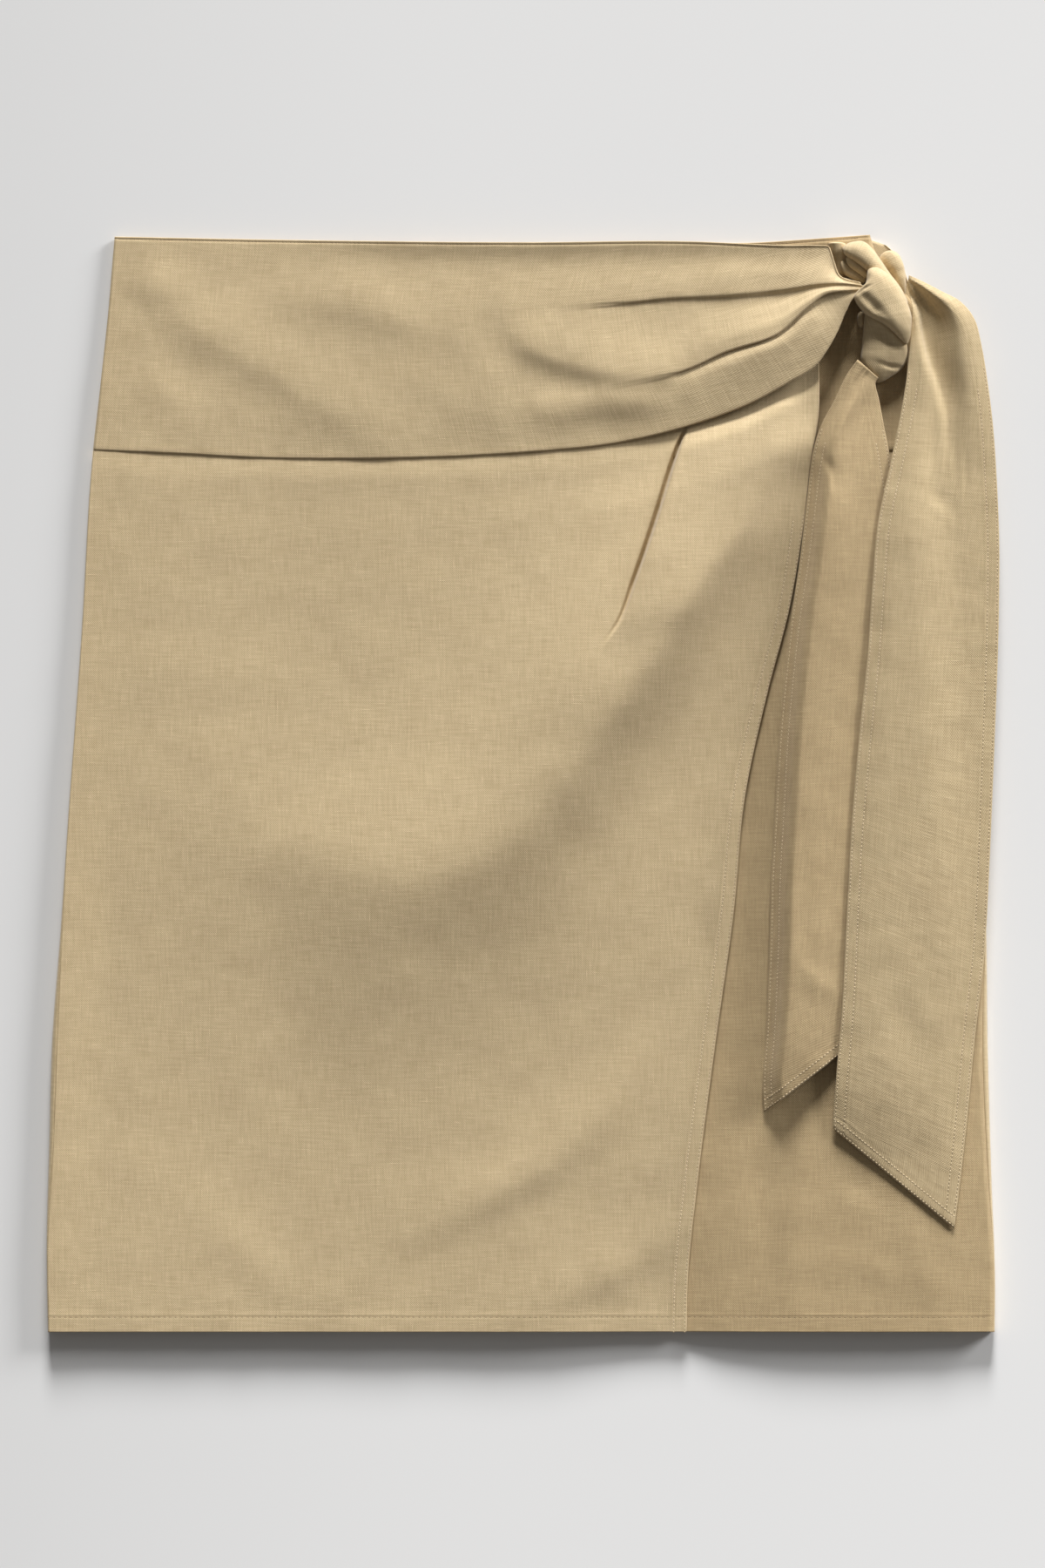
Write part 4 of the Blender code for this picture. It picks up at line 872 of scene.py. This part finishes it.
def rollGrid(roll, seed):
    rows = roll["rows"]
    centreX, centreY = (rows["leftX"] + rows["rightX"]) / 2, (rows["leftY"] + rows["rightY"]) / 2
    reach = np.concatenate([[0.0], np.cumsum(np.hypot(np.diff(centreX), np.diff(centreY)))])
    turns = np.linspace(-knotLook["under"], math.pi + knotLook["under"], knotLook["cells"])
    grid, grain = [], []
    for t in np.linspace(0.0, 1.0, knotLook["stations"]):
        u = t * t * (3 - 2 * t) * 0.5 + t * 0.5  # closer stations at both ends
        s = {name: float(value) for name, value in sectionAt(rows, u).items()}
        full = min(1.0, math.sqrt(max(0.0, 1 - (1 - min(1.0, u / roll["start"])) ** 2)))
        full *= min(1.0, math.sqrt(max(0.0, 1 - (1 - min(1.0, (1 - u) / roll["end"])) ** 2)))
        full = 0.02 + 0.98 * full
        halfX, halfY = (s["rightX"] - s["leftX"]) / 2 * full, (s["rightY"] - s["leftY"]) / 2 * full
        middleX, middleY = (s["rightX"] + s["leftX"]) / 2, (s["rightY"] + s["leftY"]) / 2
        swell = np.sign(np.sin(turns)) * np.abs(np.sin(turns)) ** knotLook["flatness"]
        swell = np.where(swell > 0, swell * (1 + roll["lean"] * np.cos(turns)), swell)
        height = np.where(swell > 0, s["crown"] - s["low"], knotLook["tuck"]) * (0.35 + 0.65 * full)
        x, y = middleX - halfX * np.cos(turns), middleY - halfY * np.cos(turns)
        z = s["low"] + height * swell
        top = np.clip(swell, 0.0, 1.0) * full
        z = z + top * (softFolds(x, y, roll["folds"]) + 0.1 * crinkles(x, y, seed, 7.0))
        grid.append(np.stack([x, y, z], axis=1))
        girth = np.concatenate([[0.0], np.cumsum(np.linalg.norm(np.diff(grid[-1], axis=0), axis=1))])
        grain.append(np.stack([girth - girth[-1] / 2 + seed * 30.0, np.full(len(x), u * reach[-1])], axis=1))
    return np.array(grid), np.array(grain)


def knotPiece(name, nodeName, rolls, seed):
    parts = []
    for k, roll in enumerate(rolls):
        points, grain = rollGrid(roll, seed + k)
        parts.append(clothPiece(name + str(k), points, grain, knotLook["thickness"]))
    whole = joined(name, parts)
    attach(whole, "root")
    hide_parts(nodeName)
    print("made", name, len(whole.data.polygons), "faces")
    return whole


def joined(name, parts):
    whole = bmesh.new()
    for part in parts:
        whole.from_mesh(part.data)
        bpy.data.objects.remove(part, do_unlink=True)
    mesh = bpy.data.meshes.new(name)
    whole.to_mesh(mesh)
    whole.free()
    mesh.materials.append(linen)
    made = bpy.data.objects.new(name, mesh)
    bpy.context.collection.objects.link(made)
    return made


knotStrip = knotPiece("knotStrip", "tie_side_strip", stripRolls, 61)
knotLoop = knotPiece("knotLoop", "tie_side_loop", loopRolls, 63)
knotTurn = knotPiece("knotTurn", "tie_front_turn", turnRolls, 67)
knotBand = knotPiece("knotBand", "tie_front_band", bandRolls, 71)

for piece, nodeName, flat, area, on, stretches in (
        (tailShort, "tail_short", (0.07, 0.41), 0.0235, ["frontPanel", "underPanel"], [knotTurn, knotBand]),
        (tailLong, "tail_long", (0.075, 0.52), 0.0335, ["underPanel", "tailShort"], [knotLoop, knotStrip])):
    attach(piece, "root")
    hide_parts(nodeName)


# ---- stitched lines

stitchLook = {
    "fine": {"pitch": 2.0, "length": 1.25, "width": 0.62, "rise": 0.34},
    "long": {"pitch": 2.9, "length": 1.9, "width": 0.45, "rise": 0.28},
    "pitShade": {"length": 0.55, "width": 0.5, "rise": 0.22},
}


def stitchTree(material):
    tree = bpy.data.node_groups.new("stitches", "GeometryNodeTree")
    tree.interface.new_socket("Lines", in_out="INPUT", socket_type="NodeSocketGeometry")
    for name in ("Pitch", "Shift", "Length", "Width", "Rise"):
        tree.interface.new_socket(name, in_out="INPUT", socket_type="NodeSocketFloat")
    tree.interface.new_socket("Stitches", in_out="OUTPUT", socket_type="NodeSocketGeometry")
    given = node(tree, "NodeGroupInput").outputs
    points = node(tree, "GeometryNodeCurveToPoints", {"Curve": given["Lines"], "Length": given["Pitch"]}, mode="LENGTH")
    along = node(tree, "ShaderNodeVectorMath", {0: points.outputs["Tangent"], 3: given["Shift"]}, operation="SCALE")
    moved = node(tree, "GeometryNodeSetPosition", {"Geometry": points.outputs["Points"], "Offset": along.outputs[0]})
    turn = node(tree, "FunctionNodeAlignRotationToVector", {"Vector": points.outputs["Tangent"]}, axis="X")
    size = node(tree, "ShaderNodeCombineXYZ", {0: given["Length"], 1: given["Width"], 2: given["Rise"]})
    bead = node(tree, "GeometryNodeMeshUVSphere", {"Segments": 6, "Rings": 4, "Radius": 0.5})
    laid = node(tree, "GeometryNodeInstanceOnPoints", {"Points": moved.outputs[0], "Instance": bead.outputs["Mesh"],
                                                       "Rotation": turn.outputs[0], "Scale": size.outputs[0]})
    real = node(tree, "GeometryNodeRealizeInstances", {0: laid.outputs[0]})
    done = node(tree, "GeometryNodeSetMaterial", {"Geometry": real.outputs[0], "Material": material})
    out = node(tree, "NodeGroupOutput")
    tree.links.new(done.outputs[0], out.inputs["Stitches"])
    return tree


def stitches(name, lines, material, sizes, pitch, shift):
    curve = bpy.data.curves.new(name, "CURVE")
    curve.dimensions = "3D"
    for line in lines:
        spline = curve.splines.new("POLY")
        spline.points.add(len(line) - 1)
        flat = np.concatenate([line * mm, np.ones((len(line), 1))], axis=1)
        spline.points.foreach_set("co", flat.ravel())
    piece = bpy.data.objects.new(name + "Lines", curve)
    bpy.context.collection.objects.link(piece)
    tree = stitchTree(material)
    modifier = piece.modifiers.new("stitches", "NODES")
    modifier.node_group = tree
    values = {"Pitch": pitch, "Shift": shift * pitch, "Length": sizes["length"], "Width": sizes["width"],
              "Rise": sizes["rise"]}
    for item in tree.interface.items_tree:
        if item.name in values:
            modifier[item.identifier] = values[item.name] * mm
    made = applied(piece, name)
    made.data.shade_smooth()
    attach(made, "root")
    print("made", name, len(made.data.polygons), "faces")
    return made


overlapFree = (0.0, 0.86)
fineLines = [surfacePath(panelPoints, "right", 1.2, *overlapFree), surfacePath(panelPoints, "right", 7.0, *overlapFree)]
for points in (shortPoints, longPoints):
    for inset, start in ((1.8, 0.10), (6.9, 0.12)):
        for side in ("left", "right"):
            fineLines.append(surfacePath(points, side, inset, start, 0.985))
    for inset in (1.2, 6.3):
        fineLines.append(surfacePath(points, "top", inset, 0.06, 0.94))
longLines = [surfacePath(panelPoints, "bottom", 8.0, 0.004, 0.985), surfacePath(underPoints, "bottom", 8.0, 0.4, 0.99)]
waistLines = [surfacePath(yokePoints.transpose(1, 0, 2), "top", 2.2, 0.01, 0.87),
              surfacePath(underYokePoints, "top", 1.3, 0.5, 0.97)]
fine, coarse, pitShade = stitchLook["fine"], stitchLook["long"], stitchLook["pitShade"]
stitches("edgeStitches", fineLines, thread, fine, fine["pitch"], 0.0)
# dark beads between the stitches: painted shade of the needle pits
stitches("edgePitShades", fineLines, threadPitShade, pitShade, fine["pitch"], 0.5)
stitches("hemStitches", longLines, threadBrown, coarse, coarse["pitch"], 0.0)
stitches("waistStitches", waistLines, threadBrown, fine, fine["pitch"], 0.0)
stitches("waistPitShades", waistLines, threadPitShade, pitShade, fine["pitch"], 0.5)


# ---- surface, light and camera

stageLook = {"floor": 0.81, "floorSize": 6.0, "floorDrop": 0.0002, "sky": 0.16}
# the floor's grey share across its width: painted light fall-off, darker towards the left
floorPaintedLightFall = table("place share", (-0.32, 0.88), (-0.18, 0.935), (-0.05, 0.98), (0.1, 1.0), (0.3, 1.03))
lamps = [
    {"name": "top", "from": (0.02, 1.0), "elevation": 18.5, "strength": 5.05, "angle": 16.0},
    {"name": "side", "from": (1.4, 1.0), "elevation": 18.0, "strength": 2.65, "angle": 22.0},
]
viewLook = {"distance": 6.0, "long": 0.828, "sensor": 36.0, "centre": (0.0, -0.0005)}

bpy.ops.mesh.primitive_plane_add(size=stageLook["floorSize"], location=(0, 0, -stageLook["floorDrop"]))
floor = bpy.context.object
floor.name = "floor"
paper = bpy.data.materials.new("paper")
paper.use_nodes = True
paperTree = paper.node_tree
spot = node(paperTree, "ShaderNodeSeparateXYZ", {0: node(paperTree, "ShaderNodeTexCoord").outputs["Object"]})
# the grey falls off towards the left of the floor: painted light fall-off
across = node(paperTree, "ShaderNodeFloatCurve", {"Value": maths(paperTree, "ADD", spot.outputs[0], 0.5)})
curve = across.mapping.curves[0]
for point, place, share in zip(curve.points, (0.0, 1.0), (0.77, 0.93)):
    point.location = (place, share)
for place, share in zip(floorPaintedLightFall["place"], floorPaintedLightFall["share"]):
    curve.points.new(place + 0.5, share * 0.9)
across.mapping.use_clip = False
across.mapping.update()
grey = maths(paperTree, "MULTIPLY", across.outputs[0], stageLook["floor"] / 0.9)
colour = node(paperTree, "ShaderNodeCombineXYZ", {0: grey, 1: grey, 2: grey})
paperTree.links.new(colour.outputs[0], paperTree.nodes["Principled BSDF"].inputs["Base Color"])
paperTree.nodes["Principled BSDF"].inputs["Roughness"].default_value = 0.9
floor.data.materials.append(paper)
for lamp in lamps:
    light = bpy.data.lights.new(lamp["name"], "SUN")
    light.energy = lamp["strength"]
    light.angle = math.radians(lamp["angle"])
    holder = bpy.data.objects.new(lamp["name"], light)
    bpy.context.collection.objects.link(holder)
    level = math.cos(math.radians(lamp["elevation"])) / math.hypot(*lamp["from"])
    toLamp = Vector((lamp["from"][0] * level, lamp["from"][1] * level, math.sin(math.radians(lamp["elevation"]))))
    holder.rotation_euler = toLamp.to_track_quat("Z", "Y").to_euler()
world = bpy.data.worlds.new("sky")
bpy.context.scene.world = world
world.use_nodes = True
world.node_tree.nodes["Background"].inputs[0].default_value = (1.0, 0.965, 0.92, 1.0)
world.node_tree.nodes["Background"].inputs[1].default_value = stageLook["sky"]

camera = bpy.data.objects.new("camera", bpy.data.cameras.new("camera"))
bpy.context.collection.objects.link(camera)
camera.location = (*viewLook["centre"], viewLook["distance"])
camera.data.sensor_width = viewLook["sensor"]
camera.data.lens = viewLook["sensor"] * viewLook["distance"] / viewLook["long"]
camera.data.clip_end = 50.0
bpy.context.scene.camera = camera
bpy.context.scene.view_settings.view_transform = "Standard"
print("stage set")
